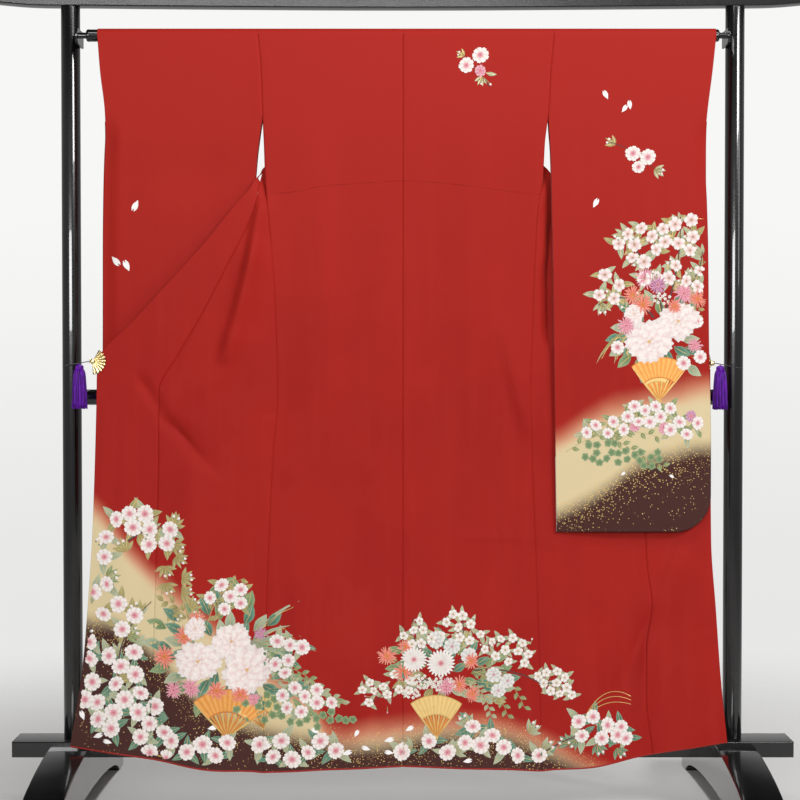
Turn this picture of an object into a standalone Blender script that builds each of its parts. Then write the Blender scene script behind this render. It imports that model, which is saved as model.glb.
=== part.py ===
# A furisode kimono hung by its sleeves on the rod of a lacquered stand, its back to the viewer,
# with both fronts opened out sideways and held by fan clips tied to the posts.
# Metres. +Z is up, +X the viewer's right and +Y away from the viewer. Depths below count from the
# rod's axis. An empty that carries every piece moves them forward by STAND_Y, so that the part's
# origin is on the floor under the middle of the stand.
import math

import bmesh
import bpy
import numpy as np
from mathutils import Matrix, Vector

# The stand
STAND_Y = 0.058
POST_X = 0.7245
POST_R = 0.0207
FOOT_WIDTH = 0.086
FOOT_REACH = 0.440
FOOT_ARCH_REACH = 0.375
FOOT_ARCH_HIGH = 0.047
FOOT_STEPS = 18
ARCH_STEPS = 12
BEAM_LENGTH = 1.702
BEAM_DEPTH = 0.097
BEAM_LOW = 0.1235
BEAM_HIGH = 0.1575
RAIL_Z = 0.907
RAIL_R = 0.017
BAR_LOW = 1.7531
BAR_HEIGHT = 0.044
BAR_DEPTH = 0.040
BAR_LENGTH = 1.840
BAR_END_OUT = 0.004
ROD_Z = 1.686
ROD_R = 0.0130
ROD_HALF = 0.676
ROD_CAP_R = 0.0132
ROD_CAP_LENGTH = 0.003
ROD_LIP = 0.004
STUB_CHAMFER = 0.001
STUB_R = 0.0065
STUB_END = 0.7035
BRACKET_THICK = 0.0055
BRACKET_HEIGHT = 0.034
BRACKET_FRONT = 0.0125
BRACKET_BACK = 0.012
TOUCH = 0.0003

# How much the top bar, level over the posts, curves up. Columns: distance from the middle, rise
BAR_RISE_ROWS = [
    (0.000, 0.0000),
    (0.100, 0.0001),
    (0.220, 0.0006),
    (0.330, 0.0014),
    (0.440, 0.0022),
    (0.550, 0.0031),
    (0.630, 0.0039),
    (0.699, 0.0046),
    (0.750, 0.0046),
    (0.785, 0.0050),
    (0.815, 0.0062),
    (0.840, 0.0080),
    (0.870, 0.0108),
    (0.895, 0.0129),
    (BAR_LENGTH / 2, 0.0144),
]
# Top of a foot from the notch for the beam to the tip. Columns: distance from the middle, height
FOOT_TOP_ROWS = [
    (0.040, 0.1468),
    (0.105, 0.1430),
    (0.200, 0.1320),
    (0.290, 0.1165),
    (0.350, 0.1015),
    (0.395, 0.0820),
    (0.425, 0.0560),
    (FOOT_REACH, 0.0300),
]

# The cloth
CLOTH = 0.0016
COLLAR_THICK = 0.0024
SEAM_INSET = 0.0002
FOLD_INSET_LEFT = 0.0003
FOLD_INSET_RIGHT = 0.0007
ARMHOLE = 0.192
BODY_LENGTH = 1.600
HEM_MIDDLE = 0.112
HEM_SAG = 0.009
CUFF_OPENING = 0.205
SLEEVE_LENGTH = 1.080
SLEEVE_CORNER = 0.075
SLEEVE_EDGE_HALF = 0.0027
COLLAR_WIDTH = 0.055
COLLAR_BEHIND = 0.0034
COLLAR_SPLIT = 0.350
COLLAR_END = 0.792
OVERLAP_START_LEFT = 0.345
OVERLAP_START_RIGHT = 0.375
OPENED_FROM = 0.345
OPENED_BY = 0.390
WRAP_R = ROD_R + TOUCH + CLOTH / 2
WRAP = WRAP_R * math.pi / 2
WRAP_STEPS = 5

# Centre back seam. Columns: height, depth
CENTRE_DEPTH = [
    (0.090, -0.0300),
    (0.410, -0.0270),
    (0.655, -0.0240),
    (0.903, -0.0210),
    (1.156, -0.0190),
    (1.353, -0.0170),
    (1.516, -0.0155),
    (ROD_Z, -WRAP_R),
]

# Side edge of the back, the armhole first, then the slit, then the side seam.
# Columns: length down the cloth, x, height, depth
SIDE_LEFT = [
    (WRAP, -0.3104, ROD_Z, -WRAP_R),
    (0.100, -0.304, 1.608, -0.0148),
    (ARMHOLE, -0.301, 1.516, -0.0155),
    (0.250, -0.298, 1.456, -0.0170),
    (0.324, -0.295, 1.380, -0.0200),
    (0.400, -0.288, 1.303, -0.0230),
    (0.500, -0.280, 1.204, -0.0250),
    (0.610, -0.274, 1.092, -0.0260),
    (0.800, -0.270, 0.903, -0.0270),
    (0.910, -0.279, 0.795, -0.0270),
    (1.150, -0.291, 0.559, -0.0280),
    (1.410, -0.299, 0.296, -0.0300),
    (BODY_LENGTH, -0.303, 0.099, -0.0320),
]
SIDE_RIGHT = [
    (WRAP, 0.3240, ROD_Z, -WRAP_R),
    (0.100, 0.317, 1.608, -0.0148),
    (ARMHOLE, 0.312, 1.516, -0.0155),
    (0.250, 0.305, 1.456, -0.0145),
    (0.324, 0.301, 1.380, -0.0115),
    (0.400, 0.290, 1.303, -0.0085),
    (0.500, 0.284, 1.204, -0.0060),
    (0.610, 0.280, 1.092, -0.0050),
    (0.800, 0.276, 0.903, -0.0050),
    (0.910, 0.278, 0.795, -0.0055),
    (1.150, 0.287, 0.559, -0.0100),
    (1.410, 0.295, 0.296, -0.0195),
    (BODY_LENGTH, 0.299, 0.101, -0.0260),
]

# Side edge of the front on its way from the far side of the rod, through the slit, to the side
# seam, which it then shares with the back. Columns: length down the cloth, x, height, depth
FRONT_SIDE_LEFT = [
    (WRAP, -0.3104, ROD_Z, WRAP_R),
    (0.100, -0.304, 1.608, 0.0150),
    (ARMHOLE, -0.301, 1.516, 0.0155),
    (0.250, -0.2975, 1.456, 0.0145),
    (0.290, -0.2960, 1.415, 0.0090),
    (0.315, -0.2960, 1.389, -0.0030),
]
FRONT_SIDE_RIGHT = [
    (WRAP, 0.3240, ROD_Z, WRAP_R),
    (0.100, 0.317, 1.608, 0.0150),
    (ARMHOLE, 0.312, 1.516, 0.0155),
    (0.250, 0.3050, 1.456, 0.0140),
    (0.290, 0.3022, 1.415, 0.0080),
    (0.315, 0.3020, 1.389, -0.0020),
]
SLIT_END = 0.334

# Inner edge of the front: the neck, the hidden slope behind the back, the slit, and the seam of
# the overlap panel down to the hem. Columns: length down the cloth, x, height, depth
FRONT_INNER_LEFT = [
    (WRAP, -0.0002, ROD_Z, WRAP_R),
    (0.027, -0.030, 1.681, 0.0143),
    (0.031, -0.056, 1.677, 0.0145),
    (0.036, -0.076, 1.672, 0.0147),
    (0.044, -0.089, 1.664, 0.0150),
    (0.070, -0.100, 1.639, 0.0155),
    (0.120, -0.126, 1.594, 0.0165),
    (0.200, -0.182, 1.532, 0.0180),
    (0.270, -0.238, 1.467, 0.0185),
    (0.300, -0.270, 1.432, 0.0185),
    (0.318, -0.288, 1.412, 0.0140),
    (0.335, -0.3010, 1.397, 0.0040),
    (0.355, -0.3060, 1.375, -0.0115),
    (0.375, -0.3110, 1.345, -0.0235),
    (0.400, -0.324, 1.299, -0.0300),
    (0.500, -0.3765, 1.192, -0.0330),
    (0.610, -0.430, 1.089, -0.0340),
    (0.700, -0.483, 0.999, -0.0340),
    (0.800, -0.524, 0.918, -0.0330),
    (0.910, -0.524, 0.817, -0.0330),
    (1.150, -0.530, 0.570, -0.0330),
    (1.410, -0.539, 0.312, -0.0350),
    (BODY_LENGTH, -0.548, 0.130, -0.0360),
]
FRONT_INNER_RIGHT = [
    (WRAP, 0.0002, ROD_Z, WRAP_R),
    (0.027, 0.030, 1.681, 0.0143),
    (0.031, 0.056, 1.677, 0.0145),
    (0.036, 0.076, 1.672, 0.0147),
    (0.044, 0.089, 1.664, 0.0150),
    (0.070, 0.100, 1.639, 0.0155),
    (0.120, 0.126, 1.594, 0.0165),
    (0.200, 0.182, 1.532, 0.0185),
    (0.270, 0.240, 1.467, 0.0200),
    (0.300, 0.270, 1.432, 0.0215),
    (0.318, 0.288, 1.421, 0.0230),
    (0.335, 0.303, 1.411, 0.0240),
    (0.355, 0.318, 1.396, 0.0240),
    (0.375, 0.332, 1.366, 0.0238),
    (0.400, 0.347, 1.318, 0.0235),
    (0.500, 0.397, 1.195, 0.0230),
    (0.610, 0.448, 1.091, 0.0220),
    (0.700, 0.491, 0.999, 0.0215),
    (0.800, 0.526, 0.917, 0.0210),
    (0.910, 0.524, 0.815, 0.0200),
    (1.150, 0.528, 0.563, 0.0120),
    (1.240, 0.540, 0.457, 0.0060),
    (1.330, 0.527, 0.360, 0.0000),
    (1.430, 0.527, 0.268, -0.0070),
    (BODY_LENGTH, 0.541, 0.136, -0.0180),
]

# Opening edge of the overlap panel, from its point to the hem.
# Columns: length down the cloth, x, height, depth
OPENING_LEFT = [
    (0.345, -0.3042, 1.3890, -0.0035),
    (0.360, -0.3132, 1.3790, -0.0150),
    (0.378, -0.3270, 1.3560, -0.0250),
    (0.400, -0.355, 1.325, -0.0300),
    (0.500, -0.428, 1.235, -0.0320),
    (0.610, -0.508, 1.148, -0.0320),
    (0.700, -0.575, 1.075, -0.0310),
    (0.792, -0.650, 0.997, -0.0295),
    (0.805, -0.6545, 0.985, -0.0290),
    (0.910, -0.657, 0.881, -0.0300),
    (1.150, -0.666, 0.624, -0.0310),
    (1.280, -0.675, 0.484, -0.0320),
    (1.410, -0.688, 0.333, -0.0330),
    (BODY_LENGTH, -0.716, 0.156, -0.0340),
]
OPENING_RIGHT = [
    (0.370, 0.3285, 1.3740, 0.0240),
    (0.384, 0.3430, 1.3560, 0.0240),
    (0.400, 0.3580, 1.3360, 0.0240),
    (0.425, 0.3790, 1.3100, 0.0240),
    (0.500, 0.445, 1.249, 0.0240),
    (0.610, 0.528, 1.162, 0.0220),
    (0.700, 0.601, 1.082, 0.0210),
    (0.792, 0.663, 1.003, 0.0200),
    (0.805, 0.6665, 0.989, 0.0200),
    (0.910, 0.667, 0.880, 0.0190),
    (1.150, 0.669, 0.598, 0.0130),
    (1.280, 0.679, 0.447, 0.0050),
    (1.410, 0.689, 0.296, -0.0040),
    (BODY_LENGTH, 0.702, 0.161, -0.0160),
]

# Depth of each opened front past the side seam, and the width over which it gets there.
# Columns: height, depth, width
FAN_LEFT = [
    (0.090, -0.0360, 0.080),
    (0.440, -0.0340, 0.070),
    (0.920, -0.0330, 0.060),
    (1.190, -0.0330, 0.050),
    (1.300, -0.0305, 0.040),
    (1.400, -0.0290, 0.030),
]
FAN_RIGHT = [
    (0.090, -0.0180, 0.200),
    (0.270, -0.0070, 0.190),
    (0.460, 0.0040, 0.190),
    (0.570, 0.0080, 0.180),
    (0.690, 0.0110, 0.170),
    (0.920, 0.0140, 0.150),
    (1.100, 0.0160, 0.100),
    (1.200, 0.0180, 0.080),
    (1.300, 0.0205, 0.048),
    (1.340, 0.0218, 0.037),
    (1.380, 0.0232, 0.027),
    (1.410, 0.0240, 0.024),
]

# Folds and creases of the hung back and fronts, each along a straight line between two points,
# standing out towards the viewer by its height, or sunk if that is negative.
# Columns: x and z of the upper end, x and z of the lower end, width to the left, width to the
# right, height
FOLDS = [
    (-0.205, 1.50, -0.165, 0.80, 0.050, 0.040, 0.0045),
    (-0.120, 1.45, -0.100, 0.55, 0.040, 0.045, -0.0035),
    (0.150, 1.45, 0.172, 0.90, 0.040, 0.045, 0.0045),
    (0.215, 1.06, 0.268, 0.84, 0.018, 0.040, 0.0055),
    (0.085, 1.20, 0.060, 0.40, 0.050, 0.050, -0.0030),
    (-0.215, 0.60, -0.235, 0.08, 0.040, 0.040, 0.0060),
    (-0.090, 0.42, -0.100, 0.05, 0.050, 0.050, 0.0050),
    (0.110, 0.42, 0.125, 0.05, 0.050, 0.050, 0.0045),
    (0.225, 0.50, 0.235, 0.05, 0.035, 0.035, -0.0040),
    (-0.300, 1.345, -0.330, 1.20, 0.010, 0.024, 0.0080),
    (-0.326, 1.215, -0.372, 1.03, 0.011, 0.030, 0.0085),
    (-0.368, 1.05, -0.386, 0.985, 0.012, 0.024, 0.0050),
    (-0.322, 1.26, -0.366, 1.07, 0.014, 0.010, -0.0030),
    (-0.330, 1.30, -0.520, 0.93, 0.014, 0.016, -0.0040),
    (-0.340, 1.28, -0.460, 1.03, 0.020, 0.018, 0.0040),
    (-0.560, 0.945, -0.520, 0.880, 0.012, 0.016, -0.0045),
    (-0.512, 0.868, -0.440, 0.780, 0.016, 0.012, -0.0055),
    (-0.440, 0.80, -0.470, 0.15, 0.045, 0.050, 0.0060),
    (-0.335, 0.75, -0.350, 0.10, 0.035, 0.040, -0.0045),
    (-0.600, 0.62, -0.630, 0.12, 0.040, 0.040, 0.0050),
    (0.588, 0.600, 0.548, 0.460, 0.018, 0.022, -0.0045),
    (0.542, 0.440, 0.468, 0.270, 0.020, 0.030, -0.0060),
    (0.535, 0.380, 0.516, 0.18, 0.022, 0.016, 0.0050),
    (0.610, 0.58, 0.625, 0.10, 0.040, 0.040, 0.0050),
    (0.400, 0.55, 0.415, 0.10, 0.045, 0.045, 0.0050),
]

# Sleeves as hung. Columns: height, x of the inner edge, x of the cuff edge, middle depth,
# half depth
SLEEVE_LEFT = [
    (0.600, -0.3300, -0.648, 0.0000, 0.0070),
    (0.800, -0.3310, -0.648, 0.0000, 0.0080),
    (1.032, -0.3340, -0.645, 0.0000, 0.0095),
    (1.250, -0.3300, -0.644, 0.0000, 0.0110),
    (1.330, -0.3235, -0.643, 0.0010, 0.0105),
    (1.380, -0.3165, -0.642, 0.0020, 0.0100),
    (1.430, -0.3120, -0.640, 0.0010, 0.0115),
    (1.470, -0.3068, -0.638, 0.0000, 0.0130),
    (1.516, -0.3014, -0.639, 0.0000, 0.0135),
    (1.608, -0.3044, -0.649, 0.0000, 0.0140),
    (ROD_Z, -0.3108, -0.655, 0.0000, WRAP_R),
]
SLEEVE_RIGHT = [
    (0.600, 0.3320, 0.662, -0.0120, 0.0040),
    (0.800, 0.3290, 0.662, -0.0098, 0.0052),
    (1.032, 0.3255, 0.657, -0.0078, 0.0068),
    (1.224, 0.3225, 0.655, -0.0052, 0.0090),
    (1.330, 0.3200, 0.652, -0.0034, 0.0106),
    (1.380, 0.3192, 0.650, -0.0022, 0.0115),
    (1.439, 0.3172, 0.650, -0.0012, 0.0125),
    (1.488, 0.3135, 0.651, -0.0005, 0.0130),
    (1.516, 0.3124, 0.653, 0.0000, 0.0135),
    (1.608, 0.3174, 0.664, 0.0000, 0.0140),
    (ROD_Z, 0.3244, 0.672, 0.0000, WRAP_R),
]

# How the collar lies across the opening edge on its way through the slit, where it is bunched.
# Columns: length down the cloth, x outwards, z, y of the direction from the edge across the collar
TURN_LEFT = [
    (0.270, -0.75, -0.66, 0.00),
    (0.300, -0.40, -0.45, 0.80),
    (0.320, 0.10, 0.10, 0.98),
    (0.338, 0.28, 0.25, 0.93),
    (0.360, -0.08, 0.05, 0.98),
    (0.380, 0.00, 0.00, 1.00),
    (0.400, -0.50, -0.50, 0.70),
    (0.425, -0.70, -0.70, 0.10),
]
TURN_RIGHT = [
    (0.270, -0.75, -0.66, 0.00),
    (0.300, -0.50, -0.50, 0.70),
    (0.320, -0.20, -0.20, 0.96),
    (0.380, -0.10, -0.10, 0.98),
    (0.400, -0.50, -0.50, 0.70),
    (0.425, -0.70, -0.70, 0.10),
]
# Collar width along the opening edge. Columns: length down the cloth, width
COLLAR_WIDTH_ROWS = [
    (0.020, COLLAR_WIDTH),
    (0.215, COLLAR_WIDTH),
    (0.260, 0.040),
    (0.295, 0.012),
    (0.320, 0.009),
    (0.385, 0.009),
    (0.410, 0.013),
    (0.470, 0.038),
    (0.520, COLLAR_WIDTH),
    (0.800, COLLAR_WIDTH),
]
# Free edge of the collar round the neck. Columns: length down the cloth, x outwards, height
NECK_FREE_ROWS = [
    (0.031, 0.018, 1.6245),
    (0.036, 0.030, 1.6235),
    (0.044, 0.040, 1.6210),
    (0.060, 0.050, 1.6120),
    (0.100, 0.069, 1.5860),
]

# Clips: a pleated fan on the cloth, on a strap bent round the cloth's edge
FAN_R = 0.0290
FAN_ROOT_R = 0.006
FAN_RIBS = 9
FAN_PLEAT = 0.0009
FAN_THICK = 0.0012
FAN_SPREAD = math.radians(75)
FAN_TILT = {"left": math.radians(-14), "right": 0.0}
PIVOT_OUT = {"left": 0.0105, "right": 0.0035}
PIVOT_DOWN = {"left": 0.004, "right": 0.013}
JAW_THICK = 0.0014
JAW_HEIGHT = 0.009
JAW_END = 0.0066
JAW_CORNER = 0.0016
JAW_NEAR_REACH = 0.0048
JAW_FAR_REACH = 0.0125
EYE_BEHIND = 0.0030

# Strings and tassels
STRING_R = 0.0011
STRING_PITCH = 0.0040
STRING_DROP = 0.0100
STRING_TURN = 255
STRING_STEPS = 16
TASSEL_X = {"left": 0.6970, "right": 0.6885}
TASSEL_LENGTH = 0.098
TASSEL_HEAD = 0.014
LOCK_WIDTH = 0.0026
LOCK_STEPS = 3
LOCK_ROOT = 0.0035
LOCK_SWELL = 0.4
# Rings of locks. Columns: locks in the ring, ring's radius in the head, radius at the tips
LOCK_RINGS = [
    (14, 0.0086, 0.0172),
    (7, 0.0040, 0.0092),
]
# Outline of a tassel's head and the loop above it. Columns: radius, height
HEAD_OUTLINE = [
    (0.0, 0.0),
    (0.0012, -0.0002),
    (0.0014, -0.0016),
    (0.0060, -0.0024),
    (0.0088, -0.0052),
    (0.0092, -0.0082),
    (0.0086, -0.0098),
    (0.0114, -TASSEL_HEAD),
    (0.0, -TASSEL_HEAD),
]

COLOURS = {
    "crepe": ((0.42, 0.018, 0.016), 0.62, 0.0),
    "lacquer": ((0.008, 0.008, 0.009), 0.16, 0.0),
    "gold": ((0.86, 0.62, 0.24), 0.24, 1.0),
    "silk": ((0.10, 0.012, 0.22), 0.55, 0.0),
    "string": ((0.03, 0.022, 0.03), 0.7, 0.0),
}


def clearScene():
    for thing in list(bpy.data.objects):
        bpy.data.objects.remove(thing, do_unlink=True)


def collection(name):
    made = bpy.data.collections.new(name)
    bpy.context.scene.collection.children.link(made)
    return made


def addCarrier(group):
    """The empty that every piece hangs from, in front of the origin by the stand's depth."""
    carrier = bpy.data.objects.new("carrier", None)
    group.objects.link(carrier)
    carrier.location = (0, -STAND_Y, 0)
    return carrier


def material(kind, name):
    colour, roughness, metallic = COLOURS[kind]
    made = bpy.data.materials.new(name)
    made.use_nodes = True
    shader = made.node_tree.nodes["Principled BSDF"]
    shader.inputs["Base Color"].default_value = (*colour, 1.0)
    shader.inputs["Roughness"].default_value = roughness
    shader.inputs["Metallic"].default_value = metallic
    return made


def addObject(name, data, kind, group):
    made = bpy.data.objects.new(name, data)
    group.objects.link(made)
    made.parent = bpy.data.objects["carrier"]
    if kind:
        data.materials.append(material(kind, name))
    return made


def asCutter(thing):
    thing.hide_render = True
    thing.display_type = "WIRE"


def smoothStep(t):
    t = min(1.0, max(0.0, t))
    return t * t * (3 - 2 * t)


class Table:
    """Reads a table's columns as smooth curves of its first column, with no overshoot."""

    def __init__(self, rows):
        data = np.array(rows, dtype=float)
        self.at = data[:, 0]
        self.values = data[:, 1:]
        steps = np.diff(self.at)[:, None]
        rises = np.diff(self.values, axis=0) / steps
        self.slopes = np.vstack([rises[:1], np.zeros_like(rises[1:]), rises[-1:]])
        for i in range(1, len(rises)):
            same = rises[i - 1] * rises[i] > 0
            total = np.where(same, rises[i - 1] + rises[i], 1.0)
            self.slopes[i] = np.where(same, 2 * rises[i - 1] * rises[i] / total, 0.0)

    def __call__(self, where):
        where = min(max(where, self.at[0]), self.at[-1])
        i = min(int(np.searchsorted(self.at, where, side="right")) - 1, len(self.at) - 2)
        i = max(i, 0)
        step = self.at[i + 1] - self.at[i]
        t = (where - self.at[i]) / step
        a = self.values[i] * (1 + 2 * t) * (1 - t) ** 2
        b = self.slopes[i] * step * t * (1 - t) ** 2
        c = self.values[i + 1] * t * t * (3 - 2 * t)
        d = self.slopes[i + 1] * step * t * t * (t - 1)
        return a + b + c + d


class Side:
    """One half of the garment: its edges, and the depth of the cloth behind any x and z."""

    def __init__(self, name, sign, overlapStart, foldInset, tables):
        back, frontSide, frontInner, opening, fan, sleeve, turn = tables
        self.name = name
        self.sign = sign
        self.overlapStart = overlapStart
        self.foldInset = foldInset
        self.back = Table(back)
        self.frontSide = Table(frontSide + [row for row in back if row[0] > SLIT_END - 0.001])
        self.frontInner = Table(frontInner)
        self.opening = Table(opening)
        self.fan = Table(fan)
        self.sleeve = Table(sleeve)
        self.turn = Table(turn)
        self.seamByHeight = Table([(z, x, y) for _, x, z, y in reversed(back)])

    def depth(self, x, z):
        """Depth of the hung back, and of the front past the side seam, with their folds."""
        seamX, seamY = self.seamByHeight(z)
        centreY = CENTRE(z)[0]
        share = x / seamX
        if share <= 1:
            base = centreY + (seamY - centreY) * share
        else:
            fanY, width = self.fan(z)
            base = seamY + (fanY - seamY) * smoothStep(abs(x - seamX) / width)
        return base - foldHeight(x, z)


def openedShare(length):
    """How far a front has turned over onto the opened plane, by its length down the cloth."""
    return smoothStep((length - OPENED_FROM) / (OPENED_BY - OPENED_FROM))


def foldHeight(x, z):
    """How far the folds bring the cloth towards the viewer here."""
    total = 0.0
    for topX, topZ, lowX, lowZ, left, right, height in FOLDS:
        runX, runZ = lowX - topX, lowZ - topZ
        length = math.hypot(runX, runZ)
        along = ((x - topX) * runX + (z - topZ) * runZ) / length
        across = ((z - topZ) * runX - (x - topX) * runZ) / length
        if across > 4 * right or across < -4 * left:
            continue
        ease = 0.28 * length
        ends = smoothStep((along + ease) / (2 * ease))
        ends *= smoothStep((length + ease - along) / (2 * ease))
        width = right if across > 0 else left
        total += height * ends * math.exp(-((across / width) ** 2))
    return total * smoothStep((1.60 - z) / 0.20)


CENTRE = Table(CENTRE_DEPTH)
COLLAR_WIDTHS = Table(COLLAR_WIDTH_ROWS)
NECK_FREE = Table(NECK_FREE_ROWS)
FOOT_TOP = Table(FOOT_TOP_ROWS)
BAR_CURVE = Table(BAR_RISE_ROWS)
LEFT = Side("left", -1, OVERLAP_START_LEFT, FOLD_INSET_LEFT,
            (SIDE_LEFT, FRONT_SIDE_LEFT, FRONT_INNER_LEFT, OPENING_LEFT, FAN_LEFT, SLEEVE_LEFT,
             TURN_LEFT))
RIGHT = Side("right", 1, OVERLAP_START_RIGHT, FOLD_INSET_RIGHT,
             (SIDE_RIGHT, FRONT_SIDE_RIGHT, FRONT_INNER_RIGHT, OPENING_RIGHT, FAN_RIGHT, SLEEVE_RIGHT,
              TURN_RIGHT))


def overRod(x, length, far):
    """A point of the cloth where it lies on the rod, by its length from the top of the rod."""
    turn = length / WRAP_R
    side = 1 if far else -1
    return Vector((x, side * WRAP_R * math.sin(turn), ROD_Z + WRAP_R * math.cos(turn)))


def wall(name, points, faces, thick, kind, group):
    """Cloth as an open middle surface, thickened equally to both sides."""
    mesh = bpy.data.meshes.new(name)
    mesh.from_pydata([tuple(p) for p in points], [], faces)
    made = addObject(name, mesh, kind, group)
    solid = made.modifiers.new("thickness", "SOLIDIFY")
    solid.thickness = thick
    solid.offset = 0.0
    mesh.shade_smooth()
    return made


def gridWall(name, rows, thick, kind, group):
    columns = len(rows[0])
    points = [p for row in rows for p in row]
    faces = []
    for i in range(len(rows) - 1):
        for j in range(columns - 1):
            a = i * columns + j
            faces.append((a, a + columns, a + columns + 1, a + 1))
    return wall(name, points, faces, thick, kind, group)


def inset(start, end, atStart=SEAM_INSET):
    """Both ends of a row, drawn in so that neighbours keep a seam's gap."""
    along = (end - start).normalized()
    return start + along * atStart, end - along * SEAM_INSET


# Lengths down the cloth at which rows of points lie. Pieces that meet share them.
ARMHOLE_ROWS = [0.060, 0.100, 0.150, ARMHOLE]
SEAM_ROWS = [0.336, 0.346, 0.358, 0.370, 0.384, 0.400, 0.425, 0.460, 0.505, 0.560, 0.620, 0.680]
SEAM_ROWS += [0.740, 0.792, 0.805, 0.870, 0.950, 1.040, 1.130, 1.220, 1.310, 1.400, 1.500, BODY_LENGTH]
BACK_ROWS = ARMHOLE_ROWS + [0.230, 0.265, 0.300] + SEAM_ROWS
FRONT_ROWS = [0.027, 0.031, 0.036, 0.044] + ARMHOLE_ROWS
FRONT_ROWS += [0.225, 0.252, 0.277, 0.295, 0.308, 0.318, 0.327] + SEAM_ROWS
BODY_COLUMNS = [0, 0.08, 0.18, 0.30, 0.43, 0.57, 0.72, 0.87, 1]


def rodRow(side, length, far):
    """Side edge to centre of the cloth that lies on the rod, at this length down from its top."""
    edge = overRod(side.back(WRAP)[0], length, far)
    start, end = inset(edge, overRod(side.sign * SEAM_INSET, length, far))
    return [start.lerp(end, t) for t in BODY_COLUMNS]


def backRow(side, length):
    """Side edge to centre seam of the back, at this length down from the top of the rod."""
    if length < WRAP:
        return rodRow(side, length, False)
    x, z, _ = side.back(length)
    middle = ROD_Z - (length - WRAP) * (ROD_Z - HEM_MIDDLE) / (BODY_LENGTH - WRAP)
    start, end = inset(Vector((x, 0, z)), Vector((0, 0, middle)), side.foldInset / 2)
    row = []
    for t in BODY_COLUMNS:
        p = start.lerp(end, t)
        p.y = side.depth(p.x, p.z)
        row.append(p)
    return row


def frontRow(side, length):
    """Side edge to inner edge of the front, which turns over as it comes out through the slit."""
    if length < WRAP:
        return rodRow(side, length, True)
    x, z, y = side.frontSide(length)
    innerX, innerZ, innerY = side.frontInner(length)
    start, end = inset(Vector((x, y, z)), Vector((innerX, innerY, innerZ)), side.foldInset)
    opened = openedShare(length)
    sag = HEM_SAG * smoothStep((length - 1.2) / 0.4)
    row = []
    for t in BODY_COLUMNS:
        p = start.lerp(end, t)
        p.z -= sag * math.sin(math.pi * t) ** 2
        p.y += opened * (side.depth(p.x, p.z) - p.y)
        row.append(p)
    return row


def makeBody(side, group):
    wrap = [WRAP * i / WRAP_STEPS for i in range(WRAP_STEPS, 0, -1)]
    rows = [backRow(side, length) for length in BACK_ROWS[::-1] + wrap]
    rows += [frontRow(side, length) for length in [0.0] + wrap[::-1] + FRONT_ROWS]
    if side.sign < 0:
        rows = [row[::-1] for row in rows]
    gridWall(f"body_{side.name}", rows, CLOTH, "crepe", group)


OVERLAP_COLUMNS = [0, 0.22, 0.48, 0.74, 1]


def makeOverlap(side, group):
    rows = []
    for length in SEAM_ROWS:
        if length < side.overlapStart + 0.008:
            continue
        x, z, y = side.frontInner(length)
        edgeX, edgeZ, edgeY = side.opening(length)
        start, end = inset(Vector((x, y, z)), Vector((edgeX, edgeY, edgeZ)))
        opened = openedShare(length)
        row = []
        for t in OVERLAP_COLUMNS:
            p = start.lerp(end, t)
            p.y += opened * (side.depth(p.x, p.z) - p.y)
            row.append(p)
        rows.append(row if side.sign > 0 else row[::-1])
    gridWall(f"overlap_{side.name}", rows, CLOTH, "crepe", group)


def frontEdge(side, length):
    """The front's whole opening edge, neck to hem, which the collar follows."""
    table = side.frontInner if length < side.overlapStart else side.opening
    x, z, y = table(length)
    y += openedShare(length) * (side.depth(x, z) - y)
    return Vector((x, y, z))


COLLAR_COLUMNS = [0, 0.5, 1]


def collarDirection(side, length):
    """Across the collar, away from the opening edge: past the front above, behind it below."""
    if side.turn.at[0] < length < side.turn.at[-1]:
        x, z, y = side.turn(length)
        return Vector((side.sign * x, y, z)).normalized()
    step = 0.004
    tangent = (frontEdge(side, length + step) - frontEdge(side, length - step)).normalized()
    across = Vector((-side.sign, 0, -1))
    return (across - tangent * across.dot(tangent)).normalized()


def neckCollarRow(side, length):
    point = frontEdge(side, length)
    across = collarDirection(side, length)
    start = point + across * (3 * SEAM_INSET + 0.45 * COLLAR_THICK * abs(across.y))
    end = start + across * COLLAR_WIDTHS(length)[0]
    if length < 0.1:
        x, z = NECK_FREE(length)
        free = Vector((side.sign * x, point.y + 0.001, z))
        end = free.lerp(end, smoothStep((length - 0.06) / 0.04))
        start = point + (end - point).normalized() * (3 * SEAM_INSET)
    return [start.lerp(end, t) for t in COLLAR_COLUMNS]


def makeNeckCollar(group):
    """Collar from slit to slit round the neck, hanging down the far side of the rod."""
    lengths = [0.031, 0.036, 0.044, 0.060, 0.100, 0.150, ARMHOLE, 0.225, 0.252, 0.277, 0.295, 0.308]
    lengths += [0.318, 0.327, 0.336, COLLAR_SPLIT]
    rows = [neckCollarRow(LEFT, length) for length in reversed(lengths)]
    top = Vector((0, WRAP_R + 0.0012, ROD_Z - 0.0055))
    rows.append([top + Vector((0, 0.001 * t, -COLLAR_WIDTH * t)) for t in COLLAR_COLUMNS])
    rows += [neckCollarRow(RIGHT, length) for length in lengths]
    gridWall("collar_neck", [row[::-1] for row in rows], COLLAR_THICK, "crepe", group)


def endCollarRow(side, length):
    """Collar turned back behind the opened front, which it follows closely."""
    point = frontEdge(side, length)
    across = collarDirection(side, length)
    turned = smoothStep((length - 0.358) / 0.045)
    start = point + across * ((3 * SEAM_INSET + 0.45 * COLLAR_THICK * abs(across.y)) * (1 - turned))
    start.y += COLLAR_BEHIND * turned
    row = []
    for t in COLLAR_COLUMNS:
        p = start + across * (COLLAR_WIDTHS(length)[0] * t)
        behind = side.depth(p.x, p.z) + COLLAR_BEHIND
        p.y += smoothStep((length - 0.385) / 0.04) * (behind - p.y)
        row.append(p)
    return row


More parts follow.
